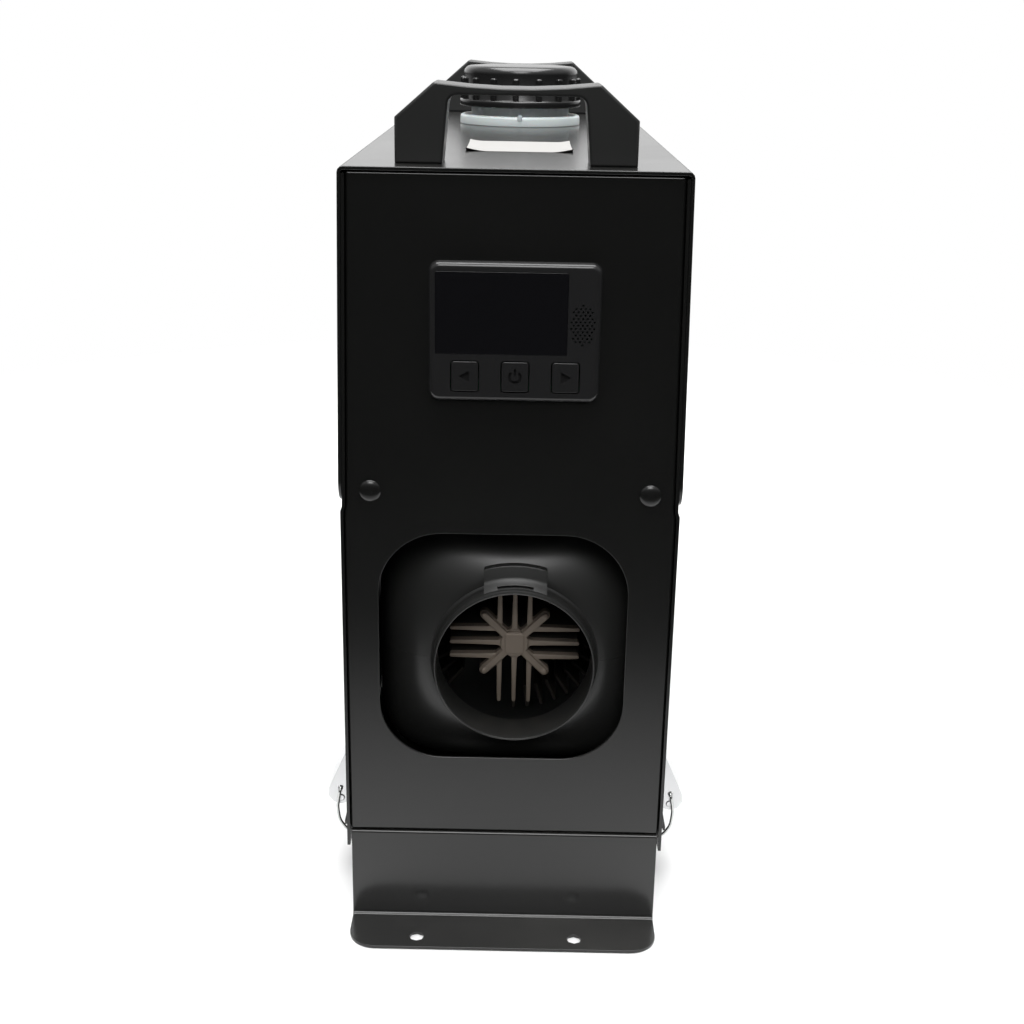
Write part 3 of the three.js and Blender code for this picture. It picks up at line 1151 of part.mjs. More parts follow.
function speakerHoles() {
  const holes = [];
  for (let row = -SPEAKER_RINGS; row <= SPEAKER_RINGS; row += 1) {
    for (let column = -SPEAKER_RINGS; column <= SPEAKER_RINGS; column += 1) {
      const x = (column + (Math.abs(row) % 2) / 2) * SPEAKER_PITCH * 0.8;
      const z = row * SPEAKER_PITCH;
      if (Math.hypot(x, z) < SPEAKER_RADIUS) {
        holes.push(rodY(SPEAKER_HOLE, CTRL_FACE - 1, PANEL_FACE + 1, SPEAKER_X + x, SPEAKER_Z + z, 4));
      }
    }
  }
  return holes;
}

function windowBox(inset, y0, y1) {
  return box(LENS_X[0] + inset, LENS_X[1] - inset, y0, y1, LENS_Z[0] + inset, LENS_Z[1] - inset);
}

function buttonBox(x, grow, y0, y1) {
  const halfWidth = BUTTON_WIDTH / 2 + grow;
  const halfHeight = BUTTON_HEIGHT / 2 + grow;
  return box(x - halfWidth, x + halfWidth, y0, y1, BUTTON_Z - halfHeight, BUTTON_Z + halfHeight);
}

function controllerBezel() {
  const plate = extrudeY(controllerShape(0), CTRL_FACE, PANEL_FACE, CTRL_EDGE);
  return cut(
    join(plate, controllerBody(0, CTRL_FACE + 1, CTRL_BACK)),
    controllerBody(CTRL_WALL, PANEL_FACE, CTRL_BACK + 1),
    windowBox(0, CTRL_FACE - 1, CTRL_FACE + LENS_THICK + SEAT_GAP),
    windowBox(LENS_LEDGE, CTRL_FACE, PANEL_FACE + 1),
    ...BUTTONS_X.map((x) => buttonBox(x, FIT_GAP, CTRL_FACE - 1, PANEL_FACE + 1)),
    ...speakerHoles(),
  );
}

function controllerLens() {
  return windowBox(FIT_GAP / 2, CTRL_FACE, CTRL_FACE + LENS_THICK);
}

function controllerBoard() {
  const back = BOARD_FRONT + PCB_THICK;
  const plate = controllerBody(CTRL_WALL + FIT_GAP, BOARD_FRONT, back);
  const display = windowBox(LENS_LEDGE + 1, PANEL_FACE - 1, BOARD_FRONT + 1);
  const switches = BUTTONS_X.map((x) => buttonBox(x, -3, SWITCH_FRONT, BOARD_FRONT + 1));
  const plug = box(CTRL_X - 15, CTRL_X - 7, back - 1, back + PLUG_HIGH, CTRL_Z, CTRL_Z + 8);
  const front = PANEL_FACE + SEAT_GAP;
  const speaker = rodY(SPEAKER_RADIUS, front, BOARD_FRONT + 1, SPEAKER_X - SEAT_GAP, SPEAKER_Z, ROUND);
  return join(plate, display, ...switches, plug, speaker);
}

function button(x) {
  const lipFront = PANEL_FACE + SEAT_GAP;
  return join(
    buttonBox(x, 0, CTRL_FACE, lipFront + BUTTON_LIP),
    buttonBox(x, BUTTON_LIP, lipFront, lipFront + BUTTON_LIP),
    rodY(2, lipFront, SWITCH_FRONT - BUTTON_TRAVEL - SEAT_GAP, x, BUTTON_Z, SMALL),
  );
}

// ---------------------------------------------------------------- toggle latches
// Each is drawn with u along +X from the side panel's face, and z from the lever's pivot.

function latchPlate() {
  const low = SIDE_LOW_EDGE - LATCH_PIVOT_Z;
  const plate = box(0, LATCH_SHEET, -PLATE_HALF, PLATE_HALF, low, low + PLATE_HEIGHT);
  const ears = [-EAR_HALF, EAR_HALF - LATCH_SHEET].flatMap((y) => [
    box(LATCH_SHEET / 2, LATCH_PIVOT_U, y, y + LATCH_SHEET, -EAR_RADIUS, EAR_RADIUS),
    rodY(EAR_RADIUS, y, y + LATCH_SHEET, LATCH_PIVOT_U, 0, SMALL),
  ]);
  const pin = rodY(PIN_RADIUS, -CHEEK_HALF - 0.4, CHEEK_HALF + 0.4, LATCH_PIVOT_U, 0, SMALL);
  return join(plate, ...ears, pin);
}

function latchLever() {
  const outline = shapeOf([[LATCH_PIVOT_U - EAR_RADIUS, -2.4], [LATCH_PIVOT_U, -EAR_RADIUS], [12, -2.6],
    [14.8, 1.2], [14.3, 5.5], [4.7, 27.5], [3.6, 27.5], [3.6, 3]]);
  const hollow = shapeOf([[-5, -9], [13.6, -9], [13.6, 1.4], [13.1, 5.2], [3.5, 27.2], [3.5, 40], [-5, 40]]);
  const inside = CHEEK_HALF - LATCH_SHEET;
  return cut(
    extrudeY(outline, -CHEEK_HALF, CHEEK_HALF),
    extrudeY(hollow, -inside, inside),
    rodY(PIN_RADIUS + FIT_GAP, -CHEEK_HALF - 1, CHEEK_HALF + 1, LATCH_PIVOT_U, 0, SMALL),
    rodY(WIRE_RADIUS + FIT_GAP, -CHEEK_HALF - 1, CHEEK_HALF + 1, ...BAIL_PIVOT, SMALL),
  );
}

function latchBail() {
  const [pivotU, pivotZ] = BAIL_PIVOT;
  const [barU, barZ] = BAR;
  const end = CHEEK_HALF - LATCH_SHEET - 1;
  const leg = [[pivotU, end, pivotZ], [pivotU, WIRE_HALF - 1.6, pivotZ],
    [pivotU + 0.2, WIRE_HALF - 0.3, pivotZ - 1], [9, WIRE_HALF, 2.6], [9.6, WIRE_HALF, -1],
    [9.8, WIRE_HALF, -4.5], [9.1, WIRE_HALF, -10.5], [7.3, WIRE_HALF, -14.2], [5.2, WIRE_HALF, -16.6],
    [barU + 0.4, WIRE_HALF - 1, barZ + 0.2], [barU, WIRE_HALF - 3, barZ]];
  const other = leg.map(([u, y, z]) => [u, -y, z]).reverse();
  return tube([...leg, [barU, 0, barZ], ...other], WIRE_RADIUS, 25);
}

function latchCatch() {
  const wall = -BASE_INSET;
  const low = BASE_SKIRT_Z + 1 - LATCH_PIVOT_Z;
  const high = CATCH_TOP - LATCH_PIVOT_Z;
  const under = BAR[1] + WIRE_RADIUS + SEAT_GAP;
  const shelfTop = under + LATCH_SHEET;
  const lip = CATCH_LIP - LATCH_SHEET;
  return join(
    box(wall, wall + LATCH_SHEET, -CATCH_HALF, CATCH_HALF, low, high),
    box(wall, CATCH_LIP, -CATCH_HALF, CATCH_HALF, under, shelfTop),
    box(lip, CATCH_LIP, -CATCH_HALF, CATCH_HALF, under - CATCH_DOWNTURN, shelfTop),
  );
}

const LATCHES = [
  { name: "front_left", side: -1, y: -LATCH_Y },
  { name: "front_right", side: 1, y: -LATCH_Y },
  { name: "rear_left", side: -1, y: LATCH_Y },
  { name: "rear_right", side: 1, y: LATCH_Y },
];

function latchTurn(latch) {
  return latch.side < 0 ? Math.PI : 0;
}

function atLatch(latch, piece) {
  return moved(piece, (latch.side * CASE_WIDTH) / 2, latch.y, LATCH_PIVOT_Z, latchTurn(latch));
}

// ---------------------------------------------------------------- assembly

add("base_bracket", baseBracket(), blackPaint());
add("case_floor", caseFloor(), blackPaint());
add("side_panel_right", sidePanelRight(), blackPaint());
add("side_panel_left", sidePanelRight().rotateZ(Math.PI), blackPaint());
add("front_panel", frontPanel(), blackPaint());
add("rear_panel", rearPanel(), blackPaint());
add("top_cover", topCover(), blackPaint());
add("divider_shelf", dividerShelf(), blackPaint());
add("rivet_left", rivet(-RIVET_X), blackPaint());
add("rivet_right", rivet(RIVET_X), blackPaint());

add("handle_front", handle().translate(0, HANDLE_MIDDLE_Y, 0), blackPlastic());
add("handle_rear", handle().translate(0, -HANDLE_MIDDLE_Y, 0), blackPlastic());
add("handle_strap_front", handleStrap().translate(0, HANDLE_MIDDLE_Y, 0), zincSteel());
add("handle_strap_rear", handleStrap().translate(0, -HANDLE_MIDDLE_Y, 0), zincSteel());

add("fuel_tank", fuelTank(), whitePlastic());
add("neck_collar", neckCollar(), whitePlastic());
add("cap_gasket", capGasket(), blackRubber());
add("fuel_cap", fuelCap(), blackPlastic());
add("tank_outlet", tankOutlet(), material(0xb08d57, 0.4, 1.0));
add("fuel_line_suction", fuelLineSuction(), blackRubber());
add("fuel_pump", fuelPump(), zincSteel());
add("pump_mount", pumpMount(), blackRubber());
add("fuel_line_delivery", fuelLineDelivery(), blackRubber());

add("shell_lower", shellHalf(0, AXIS_Z - SEAT_GAP / 2), blackPlastic());
add("shell_upper", shellHalf(AXIS_Z + SEAT_GAP / 2, CASE_TOP), blackPlastic());
add("outlet_ring", outletRing(), blackPlastic());
add("heat_exchanger", heatExchanger(), castAluminium());
add("mounting_gasket", mountingGasket(), blackRubber());
add("exhaust_stub", pipeStub(EXHAUST_X, EXHAUST_Y), zincSteel());
add("intake_stub", pipeStub(INTAKE_X, INTAKE_Y), castAluminium());
add("burner_tube", burnerTube(), zincSteel());
add("glow_plug", glowPlug(), zincSteel());
add("blower_housing", blowerHousing(), castAluminium());
add("motor", motor(), zincSteel());
add("rotor_shaft", rotorShaft(), zincSteel());
add("combustion_wheel", combustionWheel(), castAluminium());
add("air_fan", airFan(), blackPlastic());
add("inlet_guard", inletGuard(), blackPlastic());

add("control_board", controlBoard(), material(0x1f5a3a, 0.6, 0.0));
add("overheat_sensor", overheatSensor(), zincSteel());
add("wiring_harness", wiringHarness(), blackRubber());
add("power_inlet", powerInlet(), blackPlastic());

add("controller_bezel", controllerBezel(), blackPlastic());
add("controller_lens", controllerLens(), material(0x0a0a0a, 0.12, 0.0));
add("controller_board", controllerBoard(), material(0x1f5a3a, 0.6, 0.0));
["left", "power", "right"].forEach((name, k) => add(`button_${name}`, button(BUTTONS_X[k]), blackPlastic()));

for (const latch of LATCHES) {
  const place = new THREE.Group();
  place.position.set((latch.side * CASE_WIDTH) / 2, latch.y, LATCH_PIVOT_Z);
  place.rotation.z = latchTurn(latch);
  add(`latch_plate_${latch.name}`, latchPlate(), zincSteel(), place);
  add(`latch_lever_${latch.name}`, latchLever(), zincSteel(), place);
  add(`latch_bail_${latch.name}`, latchBail(), zincSteel(), place);
  heater.add(place);
}

export default heater;
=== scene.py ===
"""Looks for a portable diesel air heater: steel case, plastic cap and handles, burner unit and controller."""

import math

import bmesh
import bpy
from mathutils import Matrix, Vector


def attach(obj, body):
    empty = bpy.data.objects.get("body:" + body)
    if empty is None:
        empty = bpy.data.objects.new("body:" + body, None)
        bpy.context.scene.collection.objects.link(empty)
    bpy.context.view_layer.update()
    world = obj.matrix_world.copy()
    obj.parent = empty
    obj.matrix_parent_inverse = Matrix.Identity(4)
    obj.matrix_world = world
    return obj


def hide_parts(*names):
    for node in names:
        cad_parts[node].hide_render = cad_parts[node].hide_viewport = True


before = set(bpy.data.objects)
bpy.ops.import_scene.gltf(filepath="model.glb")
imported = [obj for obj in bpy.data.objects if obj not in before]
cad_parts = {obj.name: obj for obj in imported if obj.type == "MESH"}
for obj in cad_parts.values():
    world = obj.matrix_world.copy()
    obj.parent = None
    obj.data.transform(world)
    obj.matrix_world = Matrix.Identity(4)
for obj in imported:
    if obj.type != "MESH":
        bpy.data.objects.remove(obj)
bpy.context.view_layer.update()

bl_info = {
    "name": "Diesel air heater looks",
    "version": (1, 0, 0),
    "blender": (4, 5, 0),
    "location": "View3D > Sidebar > Heater",
    "description": "Builds the visible pieces and finishes of a portable diesel air heater",
    "category": "Object",
}

MM = 0.001
TURN = 2 * math.pi

# Places in the part's frame, in millimetres
AXIS_X, AXIS_Z = AXIS = (3.1, 134.0)
PANEL_FACE = -219.0
CASE_TOP = 357.3
CASE_HALF_WIDTH = 75.0
NECK = (0.4, 70.0)
NECK_RADIUS = 29.0
SHELL_FRONT, SHELL_BACK = -209.0, 178.0
RIVET_X, RIVET_Z = 61.7, 218.0
LATCH_Y, LATCH_Z = 165.0, 40.5
LATCH_SIDES = {"front_left": (-1, -LATCH_Y), "front_right": (1, -LATCH_Y),
               "rear_left": (-1, LATCH_Y), "rear_right": (1, LATCH_Y)}
CONTROLLER_X, CONTROLLER_Z = 0.7, 289.9
CONTROLLER_HALF_WIDTH, CONTROLLER_HALF_HEIGHT = 36.5, 29.75
CONTROLLER_FACE = -222.5
SPEAKER_X, SPEAKER_Z = 29.3, 293.7
BUTTON_X = {"left": -20.3, "power": 1.1, "right": 22.6}
BUTTON_Z = 271.0


# ---------------------------------------------------------------- mesh making, in millimetres

PLACES = {
    "X": lambda a, b, along: (along, a, b),
    "Y": lambda a, b, along: (a, along, b),
    "Z": lambda a, b, along: (a, b, along),
}


def closed_mesh(name, bm):
    """The finished mesh in metres, with doubles merged and faces outwards."""
    bmesh.ops.remove_doubles(bm, verts=bm.verts, dist=1e-3)
    bmesh.ops.recalc_face_normals(bm, faces=bm.faces)
    bmesh.ops.scale(bm, vec=(MM, MM, MM), verts=bm.verts)
    mesh = bpy.data.meshes.new(name)
    bm.to_mesh(mesh)
    bm.free()
    return mesh


def arc_points(radius, start, sweep, steps, a=0.0, b=0.0):
    """Points along an arc round (a, b), with both ends; angles in degrees."""
    angles = [math.radians(start + sweep * k / steps) for k in range(steps + 1)]
    return [(a + radius * math.cos(angle), b + radius * math.sin(angle)) for angle in angles]


def rounded_rect(a0, a1, b0, b1, radius, steps=8):
    """Outline of a rectangle with round corners."""
    corners = ((a1 - radius, b0 + radius, -90), (a1 - radius, b1 - radius, 0),
               (a0 + radius, b1 - radius, 90), (a0 + radius, b0 + radius, 180))
    return [point for a, b, start in corners for point in arc_points(radius, start, 90, steps, a, b)]


def sector_mesh(name, profile, half_angle, steps=24):
    """Part of a ring about the burner's axis, centred on the top, from a (radius, y) profile."""
    bm = bmesh.new()
    rings = []
    for k in range(steps + 1):
        angle = math.radians(90 - half_angle + 2 * half_angle * k / steps)
        rings.append([bm.verts.new((AXIS_X + radius * math.cos(angle), y, AXIS_Z + radius * math.sin(angle)))
                      for radius, y in profile])
    add_rings(bm, rings, capped=True)
    return closed_mesh(name, bm)


def add_prism(bm, points, low, high, axis="Z"):
    """A flat outline pulled along an axis from low to high."""
    place = PLACES[axis]
    ends = [[bm.verts.new(place(a, b, along)) for a, b in points] for along in (low, high)]
    bm.faces.new(ends[0])
    bm.faces.new(ends[1][::-1])
    for k in range(len(points)):
        n = (k + 1) % len(points)
        bm.faces.new((ends[0][k], ends[0][n], ends[1][n], ends[1][k]))


def add_rings(bm, rings, closed=False, capped=False):
    """Skins rings of vertices that all have the same count; a ring on the axis repeats one vertex."""
    pairs = list(zip(rings, rings[1:])) + ([(rings[-1], rings[0])] if closed else [])
    for lower, upper in pairs:
        for k in range(len(lower)):
            n = (k + 1) % len(lower)
            corners = list(dict.fromkeys((lower[k], lower[n], upper[n], upper[k])))
            if len(corners) > 2:
                bm.faces.new(corners)
    if capped:
        bm.faces.new(rings[0])
        bm.faces.new(rings[-1][::-1])


def add_lathe(bm, profile, centre, axis="Z", steps=96):
    """Turns a closed (radius, along) profile round an axis through centre."""
    place = PLACES[axis]
    rings = []
    for radius, along in profile:
        if radius < 1e-6:
            rings.append([bm.verts.new(place(centre[0], centre[1], along))] * steps)
            continue
        rings.append([bm.verts.new(place(centre[0] + radius * math.cos(TURN * k / steps),
                                         centre[1] + radius * math.sin(TURN * k / steps), along))
                      for k in range(steps)])
    add_rings(bm, rings, closed=True)


def smooth_path(points, steps):
    """A Catmull-Rom path through the points."""
    line = [Vector(p) for p in points]
    line = [2 * line[0] - line[1]] + line + [2 * line[-1] - line[-2]]
    path = []
    for k in range(1, len(line) - 2):
        a, b, c, d = line[k - 1:k + 3]
        for step in range(steps):
            t = step / steps
            path.append(0.5 * (2 * b + (c - a) * t + (2 * a - 5 * b + 4 * c - d) * t * t
                               + (3 * b - 3 * c + d - a) * t ** 3))
    return path + [line[-2]]


def add_sweep(bm, path, radius, sides):
    """A round rod along a path, with closed ends."""
    heading = (path[1] - path[0]).normalized()
    across = heading.orthogonal().normalized()
    rings = []
    for k, point in enumerate(path):
        ahead = (path[min(k + 1, len(path) - 1)] - path[max(k - 1, 0)]).normalized()
        across = (heading.rotation_difference(ahead) @ across).normalized()
        heading = ahead
        other = heading.cross(across)
        rings.append([bm.verts.new(point + radius * (math.cos(TURN * s / sides) * across
                                                     + math.sin(TURN * s / sides) * other))
                      for s in range(sides)])
    add_rings(bm, rings, capped=True)


def box_mesh(name, x, y, z, edge=0.0, segments=2):
    """A box from three (low, high) pairs, with its edges rounded where edge isn't 0."""
    bm = bmesh.new()
    add_prism(bm, [(x[0], y[0]), (x[1], y[0]), (x[1], y[1]), (x[0], y[1])], z[0], z[1])
    mesh = closed_mesh(name, bm)
    return rounded(mesh, edge, segments) if edge else mesh


def prism_mesh(name, points, low, high, axis="Y"):
    bm = bmesh.new()
    add_prism(bm, points, low, high, axis)
    return closed_mesh(name, bm)


def lathe_mesh(name, profile, centre, axis="Z", steps=96):
    bm = bmesh.new()
    add_lathe(bm, profile, centre, axis, steps)
    return smoothed(closed_mesh(name, bm))


def unit_lathe(name, profile, steps=96):
    """A (radius, y) profile turned round the burner's axis."""
    return lathe_mesh(name, profile, AXIS, "Y", steps)


def rod_mesh(name, radius, low, high, centre, axis="Z", steps=32):
    return lathe_mesh(name, [(0, low), (radius, low), (radius, high), (0, high)], centre, axis, steps)


def smoothed(mesh, angle=35):
    mesh.shade_smooth()
    mesh.set_sharp_from_angle(angle=math.radians(angle))
    return mesh


def scratch_object(mesh):
    made = bpy.data.objects.new("shaping", mesh)
    bpy.context.scene.collection.objects.link(made)
    return made


def baked(holder):
    """The mesh of an object with its modifiers made real; the object goes."""
    graph = bpy.context.evaluated_depsgraph_get()
    mesh = bpy.data.meshes.new_from_object(holder.evaluated_get(graph))
    bpy.data.objects.remove(holder)
    return mesh


def shaped(mesh, *steps):
    """The mesh after a list of (modifier kind, settings)."""
    holder = scratch_object(mesh)
    for kind, settings in steps:
        modifier = holder.modifiers.new(kind.lower(), kind)
        for key, value in settings.items():
            setattr(modifier, key, value)
    return baked(holder)


def rounded(mesh, width, segments=2, angle=35):
    """Edges sharper than the angle rounded by a width in millimetres."""
    mesh.shade_smooth()
    bevel = {"width": width * MM, "segments": segments, "limit_method": "ANGLE",
             "angle_limit": math.radians(angle), "use_clamp_overlap": True}
    return shaped(mesh, ("BEVEL", bevel), ("WEIGHTED_NORMAL", {"mode": "FACE_AREA", "weight": 100}))


def even_shading(mesh, angle=35):
    """Flat faces kept evenly shaded up to their rounded edges."""
    return shaped(smoothed(mesh, angle), ("WEIGHTED_NORMAL", {"mode": "FACE_AREA", "weight": 100,
                                                              "keep_sharp": True}))


def combined(mesh, others, operation="DIFFERENCE"):
    """The mesh with the others cut from it, joined to it, or kept in common with it."""
    holder = scratch_object(mesh)
    helpers = [scratch_object(other) for other in others]
    for helper in helpers:
        modifier = holder.modifiers.new("combine", "BOOLEAN")
        modifier.operation = operation
        modifier.solver = "EXACT"
        modifier.object = helper
    made = baked(holder)
    for helper in helpers:
        bpy.data.objects.remove(helper)
    if "custom_normal" in made.attributes:
        made.attributes.remove(made.attributes["custom_normal"])
    return made


def together(name, meshes):
    """Several closed meshes kept as one mesh."""
    bm = bmesh.new()
    for mesh in meshes:
        bm.from_mesh(mesh)
    made = bpy.data.meshes.new(name)
    bm.to_mesh(made)
    bm.free()
    return smoothed(made)


def refined(node, width, segments):
    """A merged copy of a CAD node's mesh with its edges rounded."""
    bm = bmesh.new()
    bm.from_mesh(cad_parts[node].data)
    bmesh.ops.remove_doubles(bm, verts=bm.verts, dist=1e-6)
    bmesh.ops.dissolve_limit(bm, angle_limit=math.radians(0.5), verts=bm.verts, edges=bm.edges)
    mesh = bpy.data.meshes.new(node + "_fine")
    bm.to_mesh(mesh)
    bm.free()
    return rounded(mesh, width, segments)


# ---------------------------------------------------------------- geometry node trees

def new_tree(name, sockets):
    tree = bpy.data.node_groups.new(name, "GeometryNodeTree")
    tree.interface.new_socket(name="Geometry", in_out="INPUT", socket_type="NodeSocketGeometry")
    for label, kind, value in sockets:
        item = tree.interface.new_socket(name=label, in_out="INPUT", socket_type=kind)
        if value is not None:
            item.default_value = value
    tree.interface.new_socket(name="Geometry", in_out="OUTPUT", socket_type="NodeSocketGeometry")
    return tree


def add_node(tree, kind, inputs=(), **settings):
    """A new node with its settings, and with each input linked to a socket or set to a value."""
    made = tree.nodes.new(kind)
    for key, value in settings.items():
        setattr(made, key, value)
    for key, value in dict(inputs).items():
        if isinstance(value, bpy.types.NodeSocket):
            tree.links.new(value, made.inputs[key])
        else:
            made.inputs[key].default_value = value
    return made


def calc(tree, operation, *values, clamp=False):
    """The result of a maths node."""
    return add_node(tree, "ShaderNodeMath", dict(enumerate(values)), operation=operation,
                    use_clamp=clamp).outputs[0]


def span(tree, value, *limits):
    """A value mapped from the first two limits to the last two."""
    return add_node(tree, "ShaderNodeMapRange", dict(enumerate((value, *limits)))).outputs[0]


def finish_tree(tree, instances, start):
    """Ends a tree with real copies in the finish that it was given."""
    real = add_node(tree, "GeometryNodeRealizeInstances", {"Geometry": instances})
    look = add_node(tree, "GeometryNodeSetMaterial",
                    {"Geometry": real.outputs["Geometry"], "Material": start.outputs["Finish"]})
    add_node(tree, "NodeGroupOutput", {"Geometry": look.outputs["Geometry"]})
    return tree


def turned_copies_tree():
    """Copies of one shape turned evenly round an axis through the origin."""
    tree = new_tree("turned_copies", (("Count", "NodeSocketInt", 12), ("Axis", "NodeSocketVector", (0, 0, 1)),
                                      ("Finish", "NodeSocketMaterial", None)))
    start = add_node(tree, "NodeGroupInput")
    points = add_node(tree, "GeometryNodePoints", {"Count": start.outputs["Count"]})
    index = add_node(tree, "GeometryNodeInputIndex")
    share = calc(tree, "DIVIDE", index.outputs[0], start.outputs["Count"])
    turn = add_node(tree, "FunctionNodeAxisAngleToRotation",
                    {"Axis": start.outputs["Axis"], "Angle": calc(tree, "MULTIPLY", share, TURN)})
    copies = add_node(tree, "GeometryNodeInstanceOnPoints",
                      {"Points": points.outputs[0], "Instance": start.outputs["Geometry"],
                       "Rotation": turn.outputs[0]})
    return finish_tree(tree, copies.outputs[0], start)


def placed_copies_tree():
    """Copies of one object set on the points of the mesh."""
    tree = new_tree("placed_copies", (("Shape", "NodeSocketObject", None),
                                      ("Finish", "NodeSocketMaterial", None)))
    start = add_node(tree, "NodeGroupInput")
    shape = add_node(tree, "GeometryNodeObjectInfo", {"Object": start.outputs["Shape"]})
    copies = add_node(tree, "GeometryNodeInstanceOnPoints",
                      {"Points": start.outputs["Geometry"], "Instance": shape.outputs["Geometry"]})
    return finish_tree(tree, copies.outputs[0], start)


def by_tree(mesh, tree, values):
    """The mesh that a geometry node tree makes of another, as one plain mesh."""
    holder = scratch_object(mesh)
    modifier = holder.modifiers.new("nodes", "NODES")
    modifier.node_group = tree
    for item in tree.interface.items_tree:
        if item.item_type == "SOCKET" and item.in_out == "INPUT" and item.name in values:
            modifier[item.identifier] = values[item.name]
    return smoothed(baked(holder))


def turned_copies(mesh, count, axis, centre, finish):
    """Copies turned round an axis through the origin, then moved to centre, in millimetres."""
    tree = bpy.data.node_groups.get("turned_copies") or turned_copies_tree()
    made = by_tree(mesh, tree, {"Count": count, "Axis": axis, "Finish": look(finish)})
    made.transform(Matrix.Translation(Vector(centre) * MM))
    return made


def round_unit(mesh, count, finish):
    """Copies turned round the burner's axis."""
    return turned_copies(mesh, count, (0, 1, 0), (AXIS_X, 0, AXIS_Z), finish)


def placed_copies(mesh, points, finish):
    """Copies set on points in millimetres."""
    tree = bpy.data.node_groups.get("placed_copies") or placed_copies_tree()
    shape = scratch_object(mesh)
    places = bpy.data.meshes.new("places")
    places.from_pydata([Vector(p) * MM for p in points], [], [])
    made = by_tree(places, tree, {"Shape": shape, "Finish": look(finish)})
    bpy.data.objects.remove(shape)
    return made


# ---------------------------------------------------------------- finishes

def shader_group(name, inputs, outputs):
    group = bpy.data.node_groups.new(name, "ShaderNodeTree")
    for label, kind, value in inputs:
        group.interface.new_socket(name=label, in_out="INPUT", socket_type=kind).default_value = value
    for label, kind in outputs:
        group.interface.new_socket(name=label, in_out="OUTPUT", socket_type=kind)
    return group


def grain_group():
    """Fine moulded or sprayed grain, as a height."""
    group = bpy.data.node_groups.get("surface_grain")
    if group:
        return group
    group = shader_group("surface_grain", (("Scale", "NodeSocketFloat", 900.0),),
                         (("Height", "NodeSocketFloat"),))
    start = add_node(group, "NodeGroupInput")
    coords = add_node(group, "ShaderNodeTexCoord").outputs["Object"]
    coarse = add_node(group, "ShaderNodeTexNoise",
                      {"Vector": coords, "Scale": start.outputs["Scale"], "Detail": 3.0, "Roughness": 0.6})
    finer = calc(group, "MULTIPLY", start.outputs["Scale"], 3.7)
    fine = add_node(group, "ShaderNodeTexNoise", {"Vector": coords, "Scale": finer, "Detail": 2.0})
    height = calc(group, "ADD", coarse.outputs[0], fine.outputs[0])
    add_node(group, "NodeGroupOutput", {"Height": height})
    return group


def wear_group():
    """Tone that drifts over the surface, with pale specks and dust where it faces up."""
    group = bpy.data.node_groups.get("tone_and_dust")
    if group:
        return group
    group = shader_group(
        "tone_and_dust",
        (("Colour", "NodeSocketColor", (0.5, 0.5, 0.5, 1)), ("Drift", "NodeSocketFloat", 0.1),
         ("Drift Scale", "NodeSocketFloat", 8.0), ("Dust Colour", "NodeSocketColor", (0.3, 0.29, 0.27, 1)),
         ("Dust", "NodeSocketFloat", 0.1), ("Speck", "NodeSocketFloat", 0.2),
         ("Gloss", "NodeSocketFloat", 0.4), ("Gloss Drift", "NodeSocketFloat", 0.1)),
        (("Colour", "NodeSocketColor"), ("Roughness", "NodeSocketFloat")))
    start = add_node(group, "NodeGroupInput")
    coords = add_node(group, "ShaderNodeTexCoord").outputs["Object"]
    cloud = add_node(group, "ShaderNodeTexNoise", {"Vector": coords, "Scale": start.outputs["Drift Scale"],
                                                   "Detail": 4.0, "Roughness": 0.6}).outputs[0]
    centred = calc(group, "SUBTRACT", cloud, 0.5)
    drift = calc(group, "MULTIPLY_ADD", centred, start.outputs["Drift"], 1.0)
    tone = add_node(group, "ShaderNodeVectorMath", {0: start.outputs["Colour"], "Scale": drift},
                    operation="SCALE")
    normal = add_node(group, "ShaderNodeNewGeometry").outputs["Normal"]
    facing = add_node(group, "ShaderNodeSeparateXYZ", {0: normal})
    upward = span(group, facing.outputs[2], 0.2, 1.0, 0.1, 1.0)
    patch = span(group, cloud, 0.4, 0.62, 0.2, 1.0)
    film = calc(group, "MULTIPLY", calc(group, "MULTIPLY", upward, patch), start.outputs["Dust"])
    cells = add_node(group, "ShaderNodeTexVoronoi", {"Vector": coords, "Scale": 95.0})
    sparse = add_node(group, "ShaderNodeSeparateColor", {0: cells.outputs["Color"]})
    rare = calc(group, "GREATER_THAN", sparse.outputs[0], 0.9)
    dot = span(group, cells.outputs["Distance"], 0.035, 0.015, 0.0, 1.0)
    speck = calc(group, "MULTIPLY", calc(group, "MULTIPLY", rare, dot), start.outputs["Speck"])
    mask = calc(group, "ADD", film, speck, clamp=True)
    mix = add_node(group, "ShaderNodeMix", {0: mask, 6: tone.outputs[0], 7: start.outputs["Dust Colour"]},
                   data_type="RGBA")
    gloss = calc(group, "MULTIPLY_ADD", centred, start.outputs["Gloss Drift"], start.outputs["Gloss"])
    gloss = calc(group, "MULTIPLY_ADD", mask, 0.5, gloss, clamp=True)
    add_node(group, "NodeGroupOutput", {"Colour": mix.outputs[2], "Roughness": gloss})
    return group


